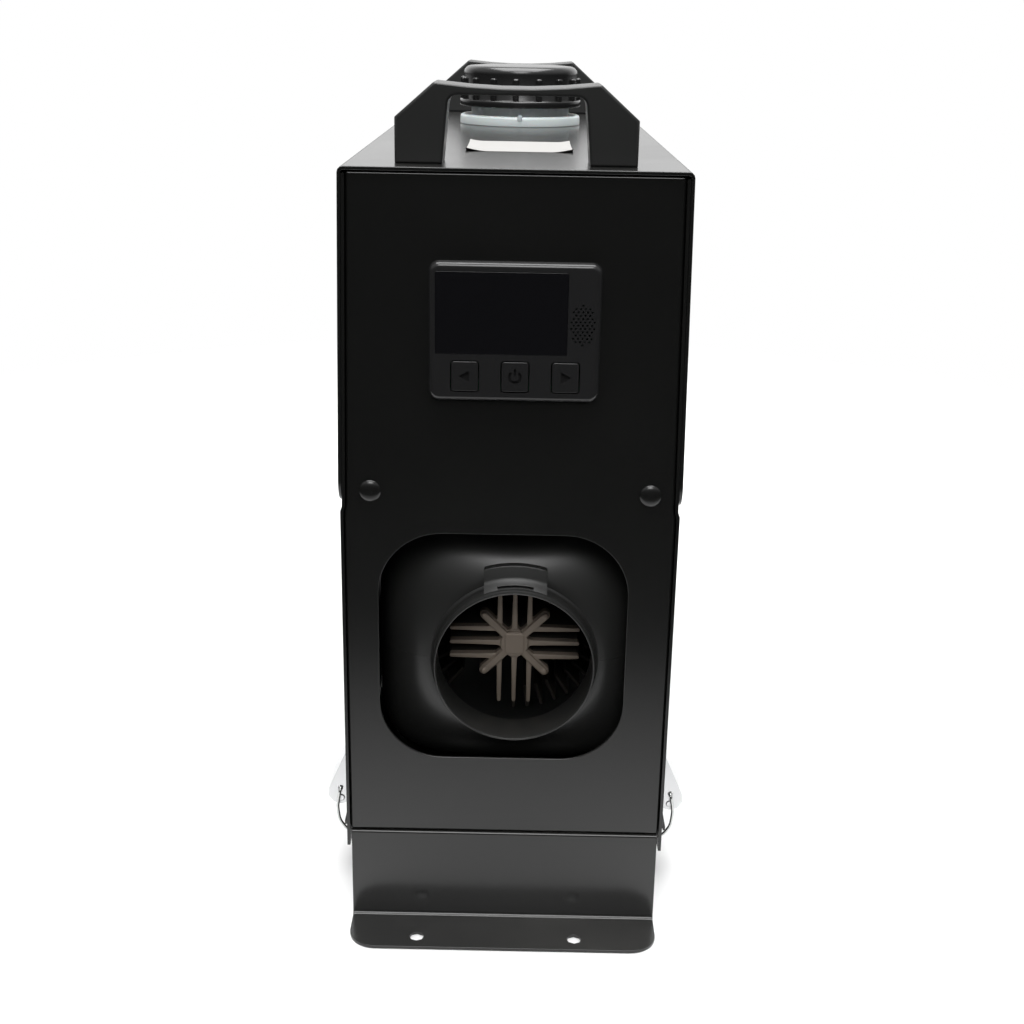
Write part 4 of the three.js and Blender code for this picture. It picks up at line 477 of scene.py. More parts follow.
# name: (colour, roughness, metallic, grain scale, grain depth in mm, drift, dust, speck, other sockets)
FINISHES = {
    "black_paint": ("paint", 0.22, 0.0, 1500, 0.0025, 0.35, 0.012, 0.1, {"IOR": 1.54}),
    "worn_paint": ("paint", 0.2, 0.0, 1500, 0.0025, 0.4, 0.06, 0.8, {"IOR": 1.54}),
    "black_plastic": ("plastic", 0.36, 0.0, 1100, 0.008, 0.2, 0.012, 0.04, {"IOR": 1.48}),
    "controller_plastic": ("case", 0.15, 0.0, 900, 0.002, 0.2, 0.012, 0.04, {"IOR": 1.5}),
    "cap_plastic": ("cap", 0.22, 0.0, 700, 0.008, 0.2, 0.015, 0.08, {"IOR": 1.5}),
    "shell_plastic": ("shell", 0.33, 0.0, 900, 0.015, 0.25, 0.012, 0.03, {"IOR": 1.5}),
    "white_plastic": ("tank", 0.3, 0.0, 500, 0.01, 0.08, 0.05, 0.02, {"Subsurface Weight": 0.12}),
    "collar_plastic": ("collar", 0.3, 0.0, 500, 0.01, 0.08, 0.05, 0.02, {"Subsurface Weight": 0.12}),
    "dark_screen": ("screen", 0.12, 0.0, 300, 0.001, 0.1, 0.004, 0.06, {"IOR": 1.5}),
    "zinc_steel": ("zinc", 0.3, 1.0, 600, 0.01, 0.2, 0.05, 0.03, {}),
    "dark_wire": ("wire", 0.2, 1.0, 800, 0.002, 0.2, 0.05, 0.03, {}),
    "cast_aluminium": ("cast", 0.5, 0.3, 700, 0.04, 0.35, 0.05, 0.05, {}),
    # Painted shade: a darkened copy of the cast aluminium, for the exchanger body and fin roots that lie in
    # shade inside the shell
    "sooty_casting": ("soot", 0.6, 0.3, 700, 0.04, 0.35, 0.02, 0.02, {}),
    "brass": ("brass", 0.35, 1.0, 700, 0.01, 0.15, 0.05, 0.0, {}),
    "black_rubber": ("rubber", 0.75, 0.0, 700, 0.03, 0.15, 0.05, 0.05, {}),
    "circuit_board": ("board", 0.55, 0.0, 500, 0.01, 0.2, 0.05, 0.0, {}),
    "label_paper": ("label", 0.6, 0.0, 800, 0.01, 0.05, 0.02, 0.0, {}),
}


def look(name):
    """The finish of that name, made once."""
    label = name + "_finish"
    material = bpy.data.materials.get(label)
    if material:
        return material
    swatch, roughness, metallic, scale, depth, drift, dust, speck, extra = FINISHES[name]
    colour = tuple(getattr(bpy.context.scene.heater_colours, swatch)) + (1.0,)
    material = bpy.data.materials.new(label)
    material.use_nodes = True
    tree = material.node_tree
    shader = tree.nodes["Principled BSDF"]
    worn = add_node(tree, "ShaderNodeGroup", node_tree=wear_group())
    for socket, value in (("Colour", colour), ("Drift", drift), ("Drift Scale", 9.0), ("Dust", dust),
                          ("Speck", speck), ("Gloss", roughness), ("Gloss Drift", roughness * 0.35)):
        worn.inputs[socket].default_value = value
    grain = add_node(tree, "ShaderNodeGroup", node_tree=grain_group())
    grain.inputs["Scale"].default_value = scale
    bump = add_node(tree, "ShaderNodeBump", {"Height": grain.outputs["Height"], "Distance": depth * MM,
                                             "Strength": 1.0})
    tree.links.new(worn.outputs["Colour"], shader.inputs["Base Color"])
    tree.links.new(worn.outputs["Roughness"], shader.inputs["Roughness"])
    tree.links.new(bump.outputs[0], shader.inputs["Normal"])
    shader.inputs["Metallic"].default_value = metallic
    for socket, value in extra.items():
        shader.inputs[socket].default_value = value
    return material


# ---------------------------------------------------------------- pieces


def piece(name, mesh, body, finish, *nodes):
    """Puts a finished mesh in the scene, riding on its body and standing for its CAD nodes."""
    made = bpy.data.objects.new(name, mesh)
    bpy.context.scene.collection.objects.link(made)
    mesh.materials.clear()
    mesh.materials.append(look(finish))
    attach(made, body)
    if nodes:
        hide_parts(*nodes)
    return made


def fine_piece(name, node, body, finish, width=0.3, segments=2):
    """A CAD node's own shape with its edges rounded."""
    return piece(name, refined(node, width, segments), body, finish, node)


def dress(finish, *nodes):
    """Gives carried-over CAD nodes a finish."""
    for node in nodes:
        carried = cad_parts[node]
        carried.data.materials.clear()
        carried.data.materials.append(look(finish))


def length(name, description, millimetres):
    return bpy.props.FloatProperty(name=name, description=description, default=millimetres * MM,
                                   unit="LENGTH", precision=5)


def colour(name, description, value):
    return bpy.props.FloatVectorProperty(name=name, description=description, default=value, size=3,
                                         subtype="COLOR", min=0.0, max=1.0)


class HeaterSizes(bpy.types.PropertyGroup):
    """Sizes of the details that the looks add."""

    sheet_edge: length("Sheet edge", "Rounding along the edges of the sheet steel", 0.35)
    handle_edge: length("Handle edge", "Rounding along the edges of the handles", 0.35)
    rivet_radius: length("Rivet radius", "Radius of a rivet's head", 5.0)
    rivet_height: length("Rivet height", "How far a rivet's head stands off", 1.9)
    cap_ribs: bpy.props.IntProperty(name="Cap ribs", description="Grip ribs round the cap", default=16, min=3)
    rib_width: length("Rib width", "Width of a grip rib on the cap", 3.6)
    core_fins: bpy.props.IntProperty(name="Core fins", description="Fins along the exchanger", default=44,
                                     min=8)
    fan_blades: bpy.props.IntProperty(name="Fan blades", description="Blades of the warm air fan", default=7)
    speaker_pitch: length("Speaker pitch", "Distance between the speaker's holes", 1.95)
    speaker_hole: length("Speaker hole", "Radius of a speaker hole", 0.45)
    wire_radius: length("Wire radius", "Half the thickness of a latch's wire", 0.75)
    label_lift: length("Label lift", "How far the label's corners curl up", 1.6)


class HeaterColours(bpy.types.PropertyGroup):
    """Base colours of the finishes."""

    paint: colour("Paint", "Black powder paint on the steel", (0.009, 0.0092, 0.0088))
    plastic: colour("Plastic", "Black plastic of handles and guard", (0.024, 0.0245, 0.024))
    case: colour("Controller", "Black plastic of the controller's case", (0.02, 0.02, 0.0205))
    cap: colour("Cap", "Glossier black plastic of the screw cap", (0.01, 0.01, 0.01))
    collar: colour("Collar", "Milky plastic of the collar on the cover", (0.56, 0.59, 0.59))
    shell: colour("Shell", "Black plastic of the burner's shell and ring", (0.02, 0.0203, 0.0196))
    tank: colour("Tank", "Milky plastic of the tank and its neck", (0.82, 0.84, 0.835))
    screen: colour("Screen", "Dark window of the controller", (0.006, 0.006, 0.0072))
    zinc: colour("Zinc", "Plated steel of latches and straps", (0.62, 0.625, 0.63))
    wire: colour("Wire", "Darker plated wire of the latches", (0.5, 0.51, 0.5))
    cast: colour("Cast", "Cast aluminium of the burner", (0.2, 0.165, 0.132))
    # Painted shade: the casting inside the shell is darkened in its colour to stand for the shade there
    soot: colour("Soot", "Darker casting inside the shell", (0.035, 0.029, 0.024))
    brass: colour("Brass", "Brass of the tank outlet", (0.6, 0.42, 0.18))
    rubber: colour("Rubber", "Black rubber of gaskets and hoses", (0.012, 0.012, 0.012))
    board: colour("Board", "Green of the circuit boards", (0.015, 0.09, 0.045))
    label: colour("Label", "Paper of the blank label", (0.29, 0.285, 0.275))


class StudioSettings(bpy.types.PropertyGroup):
    """Camera and light of the photograph's view."""

    camera_place: bpy.props.FloatVectorProperty(
        name="Camera place", description="Where the camera stands", default=(0.003014, -0.82349, 0.41271),
        size=3, subtype="TRANSLATION")
    pitch: bpy.props.FloatProperty(name="Pitch", description="How far the camera looks down", default=0.3292,
                                   subtype="ANGLE")
    yaw: bpy.props.FloatProperty(name="Yaw", description="How far the camera is turned", default=-0.0034,
                                 subtype="ANGLE")
    roll: bpy.props.FloatProperty(name="Roll", description="How far the camera is tilted", default=0.0181,
                                  subtype="ANGLE")
    focal: bpy.props.FloatProperty(name="Focal length", description="Lens on a 36 mm sensor, in millimetres",
                                   default=50.78)
    rise: bpy.props.FloatProperty(name="Rise", description="Vertical shift of the picture", default=0.0066)
    floor_radius: bpy.props.FloatProperty(name="Floor radius", description="Where the floor has faded out",
                                          default=0.94, unit="LENGTH")
    floor_back: bpy.props.FloatProperty(name="Floor back", default=0.3, unit="LENGTH",
                                        description="How far behind the middle the floor lies")
    overhead: bpy.props.FloatProperty(name="Overhead light", description="Power of the soft light above",
                                      default=35.0, unit="POWER")


class HEATER_OT_case(bpy.types.Operator):
    """Case: side panels, cover, end panels and rivets"""

    bl_idname = "heater.case"
    bl_label = "Case"

    def execute(self, context):
        sizes = context.scene.heater_sizes
        edge = sizes.sheet_edge / MM
        for name, node in (("case_side_right", "side_panel_right"), ("case_side_left", "side_panel_left"),
                           ("case_cover", "top_cover"), ("front_sheet", "front_panel"),
                           ("rear_sheet", "rear_panel"), ("shelf_sheet", "divider_shelf"),
                           ("floor_sheet", "case_floor")):
            fine_piece(name, node, "case", "black_paint", edge)
        radius, height, rim = sizes.rivet_radius / MM, sizes.rivet_height / MM, 0.15
        profile = [(0.0, 0.6), (radius - 0.3, 0.6), (radius, 0.25), (radius, -rim)]
        for step in range(1, 9):
            angle = math.pi / 2 * step / 8
            profile.append((radius * math.cos(angle), -rim - (height - rim) * math.sin(angle)))
        profile[-1] = (0.0, -height)
        dome = lathe_mesh("rivet_dome", profile, (0, 0), "Y", 40)
        for end, name, nodes in ((1, "front_rivets", ("rivet_left", "rivet_right")), (-1, "rear_rivets", ())):
            places = [(x, end * PANEL_FACE, RIVET_Z) for x in (-RIVET_X, RIVET_X)]
            piece(name, placed_copies(dome, places, "black_paint"), "case", "black_paint", *nodes)
            dome.transform(Matrix.Rotation(math.pi, 4, "Z"))
        return {"FINISHED"}


class HEATER_OT_base(bpy.types.Operator):
    """Base bracket with its flanges, holes and latch catches"""

    bl_idname = "heater.base"
    bl_label = "Base"

    def execute(self, context):
        edge = context.scene.heater_sizes.sheet_edge / MM
        fine_piece("base_sheet", "base_bracket", "case", "worn_paint", edge)
        return {"FINISHED"}


class HEATER_OT_handles(bpy.types.Operator):
    """Two moulded handles and the straps that hold them"""

    bl_idname = "heater.handles"
    bl_label = "Handles"

    def execute(self, context):
        edge = context.scene.heater_sizes.handle_edge / MM
        for end in ("front", "rear"):
            fine_piece("handle_grip_" + end, "handle_" + end, "case", "black_plastic", edge, 3)
        dress("zinc_steel", "handle_strap_front", "handle_strap_rear")
        return {"FINISHED"}


class HEATER_OT_tank(bpy.types.Operator):
    """Tank, its neck with thread, the collar on the cover, and the outlet"""

    bl_idname = "heater.tank"
    bl_label = "Tank and collar"

    def execute(self, context):
        dress("white_plastic", "fuel_tank")
        dress("black_rubber", "cap_gasket")
        fine_piece("outlet_barb", "tank_outlet", "case", "brass")
        inner, outer, low, high = 29.3, 35.5, CASE_TOP, CASE_TOP + 5.5
        profile = [(inner, low), (outer - 0.2, low), (outer, low + 0.3), (outer, high - 1.4),
                   (outer - 0.4, high - 0.5), (outer - 1.3, high), (inner + 0.7, high), (inner, high - 0.5)]
        collar = lathe_mesh("collar", profile, NECK)
        front, half = NECK[1] - outer, 1.3
        nub = box_mesh("nub", (NECK[0] - half, NECK[0] + half), (front - 0.4, front + 2),
                       (high - 2, high + 0.9), 0.4)
        piece("tank_collar", together("collar", [collar, nub]), "case", "collar_plastic", "neck_collar")
        start, pitch, turns, steps = 371.5, 6.0, 1.2, 48
        path = []
        for k in range(int(turns * steps) + 1):
            angle = TURN * k / steps
            path.append(Vector((NECK[0] + NECK_RADIUS * math.cos(angle),
                                NECK[1] + NECK_RADIUS * math.sin(angle), start + pitch * k / steps)))
        bm = bmesh.new()
        add_sweep(bm, path, 0.5, 8)
        piece("neck_thread", smoothed(closed_mesh("thread", bm)), "case", "white_plastic")
        return {"FINISHED"}


class HEATER_OT_cap(bpy.types.Operator):
    """Ribbed screw cap"""

    bl_idname = "heater.cap"
    bl_label = "Cap"

    def execute(self, context):
        sizes = context.scene.heater_sizes
        low, skirt, top = 367.5, 371.5, 391.0
        bore, brim, grip = 29.7, 35.8, 33.6
        shoulder, rise = 4.6, 4.4
        profile = [(bore, low + 0.4), (bore + 0.4, low), (brim - 0.9, low), (brim - 0.2, low + 0.3),
                   (brim, low + 0.9), (brim, skirt - 0.9), (brim - 0.3, skirt - 0.25), (brim - 0.9, skirt),
                   (grip + 0.2, skirt + 0.02), (grip, skirt + 0.3), (grip, top - 5.2)]
        for step in range(1, 9):
            angle = math.pi / 2 * step / 8
            profile.append((grip - shoulder * (1 - math.cos(angle)), top - 5.2 + rise * math.sin(angle)))
        profile += [(24.0, top - 0.4), (12.0, top - 0.1), (0.0, top), (0.0, top - 5.1),
                    (bore - 0.3, top - 5.1), (bore, top - 5.6)]
        body = lathe_mesh("cap_body", profile, NECK, steps=128)
        half = sizes.rib_width / MM / 2
        rib = box_mesh("cap_rib", (31.5, 35.5), (-half, half), (skirt - 0.5, top - 7.2), 1.1, 4)
        rib.transform(Matrix.Rotation(math.pi / sizes.cap_ribs + math.radians(7), 4, "Z"))
        ribs = turned_copies(rib, sizes.cap_ribs, (0, 0, 1), (*NECK, 0), "cap_plastic")
        piece("cap_ribbed", together("cap_ribbed", [body, ribs]), "cap", "cap_plastic", "fuel_cap")
        return {"FINISHED"}


def shell_ring(bm, y, half_width, half_height, squareness):
    """A ring of vertices between an ellipse and a rectangle, as its squareness grows."""
    ring, count = [], 120
    for k in range(count):
        c, s = math.cos(TURN * k / count), math.sin(TURN * k / count)
        reach = (abs(c / half_width) ** squareness + abs(s / half_height) ** squareness) ** (-1 / squareness)
        ring.append(bm.verts.new((AXIS_X + reach * c, y, AXIS_Z + reach * s)))
    return ring


def shell_rows(inset):
    """Rows of y, half width, half height and squareness along the shell's skin."""
    wide, high, nose, mouth = 65 - inset, 63 - inset, 40 - inset, 37.8
    front, depth, lean, steps = SHELL_FRONT + inset, 36, 0.2, 18
    rows = [(front, mouth, mouth, 2.0)]
    for k in range(steps + 1):
        angle = lean + (math.pi / 2 - lean) * k / steps
        out = (math.sin(angle) - math.sin(lean)) / (1 - math.sin(lean))
        along = depth * (1 - math.cos(angle) / math.cos(lean))
        rows.append((front + along, nose + (wide - nose) * out, nose + (high - nose) * out,
                     2 + 3 * out * out))
    tail = [(SHELL_BACK - 22, wide, high, 5.0), (SHELL_BACK - 8, wide - 2, high - 3, 3.4),
            (SHELL_BACK, 56 - inset, 56 - inset, 2.0)]
    ends = smooth_path([row[:3] for row in tail], 5)
    squares = smooth_path([(row[3], 0, 0) for row in tail], 5)
    return rows + [(end[0], end[1], end[2], max(2.0, square[0])) for end, square in zip(ends, squares)]


class HEATER_OT_shell(bpy.types.Operator):
    """Domed plastic shell round the burner, in two halves, with the outlet ring"""

    bl_idname = "heater.shell"
    bl_label = "Shell and outlet ring"

    def execute(self, context):
        wall, seam, room = 2.5, 0.04, 150
        bm = bmesh.new()
        rows = shell_rows(0) + shell_rows(wall)[::-1]
        add_rings(bm, [shell_ring(bm, *row) for row in rows], closed=True)
        skin = closed_mesh("shell_skin", bm)
        column = box_mesh("column_room", (-27.2, 33.4), (-50.3, 20.3), (60, 80))
        harness = rod_mesh("harness_hole", 4.1, 185, 205, (34, 43), steps=24)
        skin = combined(skin, [column, harness])
        for half, low, high in (("lower", 0, AXIS_Z - seam), ("upper", AXIS_Z + seam, 260)):
            block = box_mesh("half_room", (-room, room), (-250, 250), (low, high))
            part = smoothed(combined(skin, [block], "INTERSECT"), 30)
            piece("shell_half_" + half, part, "case", "shell_plastic", "shell_" + half)
        front, lip, foot, back = -219.5, -217.5, -209.3, -199.4
        bore, outer = 36.0, 37.5
        ring = unit_lathe("ring", [(bore, front + 0.5), (36.2, front + 0.12), (36.5, front),
                                   (36.8, front + 0.12), (37.0, front + 0.5), (37.0, lip - 0.1),
                                   (37.3, lip + 0.15), (37.4, lip + 0.6), (outer, -212.0), (37.8, -210.8),
                                   (38.4, -210.0), (39.0, -209.6), (39.0, foot), (outer, foot), (outer, back),
                                   (bore, back)], 144)
        tab = sector_mesh("tab", [(36.9, -215.6), (38.0, -215.2), (39.2, -214.0), (40.6, -212.7),
                                  (42.0, -212.1), (46.4, -211.0), (46.8, -210.6), (46.8, -206.5),
                                  (43.4, -208.2), (40.4, foot), (36.9, foot)], 30, 36)
        sides = box_mesh("sides", (AXIS_X - 14.4, AXIS_X + 14.4), (-220, -200), (150, 190))
        slot = sector_mesh("slot", [(37.9, -217), (38.8, -217), (38.8, -212.2), (37.9, -212.2)], 12.4)
        tab = rounded(combined(combined(tab, [sides], "INTERSECT"), [slot]), 0.25, 2, 50)
        piece("duct_ring", together("duct_ring", [ring, tab]), "case", "shell_plastic", "outlet_ring")
        return {"FINISHED"}


# The cast cross on the exchanger's nose, along y: its face, its ridges' top, where the carving ends, its back
CROSS_PLATE, CROSS_RIDGE, CROSS_CARVED, CROSS_BACK = -190.6, -192.0, -186.0, -159.0
CROSS_PITCH = 7.1  # between fins
CROSS_REACH = 31.0  # to the fins' tips
CROSS_ARM = 20.4  # to the pads at the ends of the slanting arms
EIGHTHS = [Matrix.Rotation(step * math.pi / 4, 2) for step in range(8)]
STRAIGHT, SLANTED = EIGHTHS[0::2], EIGHTHS[1::2]


def arch(half, low, high):
    """Outline of a strip along the second axis with a round end at high."""
    return [(-half, low), (half, low)] + arc_points(half, 0, 180, 10, 0, high)


def add_turned(bm, outline, low, high, turn):
    """A prism along y from an outline that is turned round the origin first."""
    add_prism(bm, [tuple(turn @ Vector(point)) for point in outline], low, high, "Y")


def cross_middle(low, high):
    """The cross's middle, with round-rooted pockets between its fins."""
    half, chamfer, slot, start = 8.9, 5.2, 2.2, 8.5
    corner = half - chamfer
    octagon = [(half, -corner), (half, corner), (corner, half), (-corner, half),
               (-half, corner), (-half, -corner), (-corner, -half), (corner, -half)]
    pockets = []
    for turn in STRAIGHT:
        for row in (-0.5, 0.5):
            bm = bmesh.new()
            outline = [(row * CROSS_PITCH + a, start - b) for a, b in arch(slot, -12, 0)]
            add_turned(bm, outline, CROSS_PLATE - 2, CROSS_BACK + 2, turn)
            pockets.append(closed_mesh("pocket", bm))
    return combined(prism_mesh("block", octagon, low, high), pockets)


def cross_fins(low, high):
    """Three fins each way, thinner at their tips, and the four slanting arms."""
    root, tip, start = 1.35, 0.95, 6.0
    bm = bmesh.new()
    for turn in STRAIGHT:
        for centre in (-CROSS_PITCH, 0, CROSS_PITCH):
            outline = [(centre - root, start), (centre + root, start)]
            outline += arc_points(tip, 0, 180, 8, centre, CROSS_REACH - tip)
            add_turned(bm, outline, low, high, turn)
    for turn in SLANTED:
        add_turned(bm, arch(2.25, 0.0, CROSS_ARM), low, high, turn)
    return closed_mesh("fins", bm)


def cross_ridges():
    """Ridges on the slanting arms, their round pads, and the pad in the middle."""
    pad, boss, sunk = 1.2, 6.3 / math.cos(math.pi / 8), CROSS_PLATE + 1
    bm = bmesh.new()
    for turn in SLANTED:
        add_turned(bm, arch(1.5, 0.0, CROSS_ARM), CROSS_RIDGE, sunk, turn)
        add_turned(bm, arc_points(pad, 0, 360, 20, 0, CROSS_ARM)[:-1], CROSS_RIDGE - 0.45, sunk, turn)
    add_prism(bm, arc_points(boss, 22.5, 360, 8)[:-1], CROSS_RIDGE, sunk, "Y")
    add_prism(bm, rounded_rect(-4.3, 4.3, -4.8, 4.8, 0.8, 3), CROSS_RIDGE - 0.35, sunk, "Y")
    return closed_mesh("ridges", bm)


def cross_casting():
    """Star of fins on the exchanger's nose: its carved front, and the plain roots behind."""
    spans = ((CROSS_PLATE, CROSS_CARVED), (CROSS_CARVED - 0.6, CROSS_BACK))
    front, roots = [[cross_middle(*ends), cross_fins(*ends)] for ends in spans]
    front = shaped(together("cross", front + [cross_ridges()]),
                   ("REMESH", {"mode": "VOXEL", "voxel_size": 0.3 * MM, "use_smooth_shade": True}),
                   ("SMOOTH", {"factor": 0.5, "iterations": 3}),
                   ("DECIMATE", {"ratio": 0.4}))
    meshes = [front, together("cross", roots)]
    for mesh in meshes:
        mesh.transform(Matrix.Translation(Vector((AXIS_X, 0, AXIS_Z)) * MM))
        mesh.shade_smooth()
    return meshes


class HEATER_OT_exchanger(bpy.types.Operator):
    """Cast heat exchanger with its star front, fins, foot, pipes and burner tube"""

    bl_idname = "heater.exchanger"
    bl_label = "Exchanger"

    def execute(self, context):
        core = unit_lathe("core", [(0, -160), (33, -160), (35.2, -159), (40, -155), (40, -4), (49.5, -4),
                                   (50, -3.5), (50, 19.5), (49.5, 20), (34, 20), (34, -150), (0, -150)])
        fin = box_mesh("fin", (39, 51), (-156, -3.5), (-0.8, 0.8), 0.5)
        fins = round_unit(fin, context.scene.heater_sizes.core_fins, "cast_aluminium")
        column = box_mesh("column", (-26.9, 33.1), (-50, 20), (56, 98), 2.0, 3)
        flange = rounded(prism_mesh("flange", rounded_rect(-41.9, 48.1, -70, 40, 6), 52.1, 57.1, "Z"), 0.8)
        exhaust, intake = (-12, -35), (20, 5)
        bores = [rod_mesh("bore", 9, 40, 99, exhaust), rod_mesh("bore", 9, 40, 69, intake),
                 rod_mesh("plug_bore", 4.3, 160, 190, (17, 8))]
        body = smoothed(combined(together("exchanger", [core, fins, column, flange]), bores))
        # Painted shade: the body inside the shell takes the darkened casting colour in place of shade
        piece("exchanger_body", body, "case", "sooty_casting", "heat_exchanger")
        cross, roots = cross_casting()
        piece("exchanger_cross", cross, "case", "cast_aluminium", "heat_exchanger")
        # Painted shade: the roots between the fins take the darkened casting colour so the gaps read as
        # shaded
        piece("exchanger_roots", smoothed(roots), "case", "sooty_casting", "heat_exchanger")
        nut = lathe_mesh("nut", [(3.1, 46.2), (4.6, 46.2), (5.4, 45.6), (5.4, 41.8), (4.6, 41.2),
                                 (3.1, 41.2)], (0, 0), steps=6)
        stud = lathe_mesh("stud", [(0, 39.7), (2.5, 39.7), (3, 40.2), (3, 52), (0, 52)], (0, 0), steps=24)
        places = [(AXIS_X + a * 38, -15 + b * 48, 0) for a in (-1, 1) for b in (-1, 1)]
        nuts = placed_copies(together("nut_and_stud", [nut, stud]), places, "zinc_steel")
        piece("foot_nuts", nuts, "case", "zinc_steel")
        fine_piece("foot_gasket", "mounting_gasket", "case", "black_rubber")
        profile = [(10.8, 12.3), (11.1, 12), (11.7, 12), (12, 12.3), (12, 15), (12.4, 15.6), (12.4, 16.6),
                   (12, 17.2), (12, 52), (10.8, 52)]
        for name, finish, centre in (("exhaust_stub", "zinc_steel", exhaust),
                                     ("intake_stub", "cast_aluminium", intake)):
            pipe = lathe_mesh(name + "_pipe", profile, centre, steps=64)
            piece(name + "_pipe", pipe, "case", finish, name)
        dress("zinc_steel", "burner_tube", "glow_plug", "overheat_sensor")
        return {"FINISHED"}


def fan_blade():
    """One twisted blade of the warm air fan, reaching out along x."""
    root, tip, middle, rows, sides = 11, 49.6, 141, 10, 12
    bm = bmesh.new()
    rings = []
    for k in range(rows + 1):
        share = k / rows
        pitch = math.radians(58 - 26 * share)
        half, thick = 13.5 - 2.5 * share ** 2, 1.3 - 0.5 * share
        ring = []
        for step in range(sides):
            angle = TURN * step / sides
            u = half * math.cos(angle)
            v = thick * math.sin(angle) + 1.6 * (math.cos(angle) ** 2 - 0.5)
            ring.append(bm.verts.new((root + (tip - root) * share,
                                      middle + 0.9 * u * math.cos(pitch) - v * math.sin(pitch),
                                      0.5 * u * math.sin(pitch) + v * math.cos(pitch))))
        rings.append(ring)
    add_rings(bm, rings, capped=True)
    return closed_mesh("blade", bm)


class HEATER_OT_blower(bpy.types.Operator):
    """Blower housing, motor, both wheels and the guard at the back"""

    bl_idname = "heater.blower"
    bl_label = "Blower"

    def execute(self, context):
        sizes = context.scene.heater_sizes
        fine_piece("blower_casting", "blower_housing", "case", "cast_aluminium", 0.8, 3)
        outer, shoulder, start, end = 26, 103, 58.3, 108
        profile = [(3.3, start), (outer - 0.6, start), (outer, start + 0.6), (outer, shoulder)]
        profile += [(outer - 5 * (1 - math.cos(a)), shoulder + 5 * math.sin(a))
                    for a in (0.4, 0.8, 1.2, math.pi / 2)]
        profile += [(12, end), (11.4, end - 0.8), (3.3, end - 0.8)]
        piece("motor_can", unit_lathe("motor_can", profile, 72), "case", "zinc_steel", "motor")
        fine_piece("wheel_burner", "combustion_wheel", "rotor", "cast_aluminium")
        shaft = unit_lathe("shaft", [(0, 31), (2.7, 31), (3, 31.3), (3, 159.5), (2.5, 160), (0, 160)], 32)
        piece("shaft_rod", shaft, "rotor", "zinc_steel", "rotor_shaft")
        blades = round_unit(fan_blade(), sizes.fan_blades, "shell_plastic")
        hub = unit_lathe("hub", [(3.3, 128), (12, 128), (15.4, 129), (16, 130), (16, 148), (15, 151.4),
                                 (12, 153.6), (8, 154), (3.3, 154)], 72)
        piece("fan_wheel", together("fan_wheel", [hub, blades]), "rotor", "black_plastic", "air_fan")
        low, high = 172, 178
        bm = bmesh.new()
        for radius in (53.2, 43.5, 32.5, 21.5):
            add_lathe(bm, rounded_rect(radius - 2.2, radius, low, high, 0.7, 3), AXIS, "Y", 96)
        rings = closed_mesh("guard_rings", bm)
        middle = unit_lathe("guard_hub", [(0, low), (11, low), (11.6, low + 0.6), (11.6, high - 1.5),
                                          (10.6, high - 0.3), (0, high)], 48)
        spoke = box_mesh("guard_spoke", (10.5, 52.5), (low + 0.6, high - 0.6), (-1.2, 1.2), 0.6)
        grille = together("guard_grille", [rings, middle, round_unit(spoke, 6, "shell_plastic")])
        piece("guard_grille", grille, "case", "shell_plastic", "inlet_guard")
        return {"FINISHED"}


class HEATER_OT_fuel_lines(bpy.types.Operator):
    """Pump, its mount and the two fuel lines"""

    bl_idname = "heater.fuel_lines"
    bl_label = "Pump and lines"

    def execute(self, context):
        low, high, barb, neck, outer = 250, 326, 2.4, 7.4, 13.5
        profile = [(0, low - 10), (1.9, low - 10), (3.0, low - 9), (barb, low - 6.5), (barb, low - 4),
                   (neck, low - 4), (neck, low), (outer - 0.9, low), (outer, low + 1), (outer, high - 1),
                   (outer - 0.9, high), (neck, high), (neck, high + 4), (barb, high + 4), (barb, high + 7),
                   (3.0, high + 9), (1.9, high + 10), (0, high + 10)]
        pump = lathe_mesh("pump", profile, (-38, 186), steps=64)
        piece("pump_body", pump, "case", "zinc_steel", "fuel_pump")
        fine_piece("pump_clip", "pump_mount", "case", "black_rubber", 0.8, 3)
        dress("black_rubber", "fuel_line_suction", "fuel_line_delivery")
        return {"FINISHED"}


class HEATER_OT_electrics(bpy.types.Operator):
    """Boards, harness and the power inlet at the back"""

    bl_idname = "heater.electrics"
    bl_label = "Electrics"

    def execute(self, context):
        dress("circuit_board", "control_board", "controller_board")
        dress("black_rubber", "wiring_harness")
        centre, bore, radius = (40, 240), 8.5, 12
        bm = bmesh.new()
        for low, high in ((219, 224), (212.6, 217.6)):
            add_lathe(bm, [(bore, low), (radius - 0.8, low), (radius, low + 0.6), (radius, high - 0.6),
                           (radius - 0.8, high), (bore, high)], centre, "Y", 6)
        nuts = rounded(closed_mesh("inlet_nuts", bm), 0.3)
        profile = [(3, 207.6), (8.4, 207.6), (9, 208.2), (9, 223), (8.6, 224.2), (8.0, 226), (6.6, 229.4),
                   (5.4, 231), (3.4, 231), (3, 230.6)]
        gland = lathe_mesh("gland", profile, centre, "Y", 64)
        piece("inlet_gland", together("inlet_gland", [nuts, gland]), "case", "black_plastic", "power_inlet")
        return {"FINISHED"}


def symbol_cutter(name, x):
    """Cutter for the generic sign on a button's face."""
    front, floor = -223.2, -221.1
    if name != "power":
        way = -1 if name == "left" else 1
        arrow = [(x + way * 2.5, BUTTON_Z), (x - way * 1.9, BUTTON_Z + 2.5), (x - way * 1.9, BUTTON_Z - 2.5)]
        return prism_mesh("arrow_sign", arrow, front, floor)
    inner, outer, half = 1.8, 2.9, 0.5
    bm = bmesh.new()
    arc = arc_points(outer, 130, 280, 28, x, BUTTON_Z) + arc_points(inner, 130, 280, 28, x, BUTTON_Z)[::-1]
    add_prism(bm, arc, front, floor, "Y")
    bar = rounded_rect(x - half, x + half, BUTTON_Z + 0.2, BUTTON_Z + 3.5, 0.25, 3)
    add_prism(bm, bar, front, floor, "Y")
    return closed_mesh("power_sign", bm)


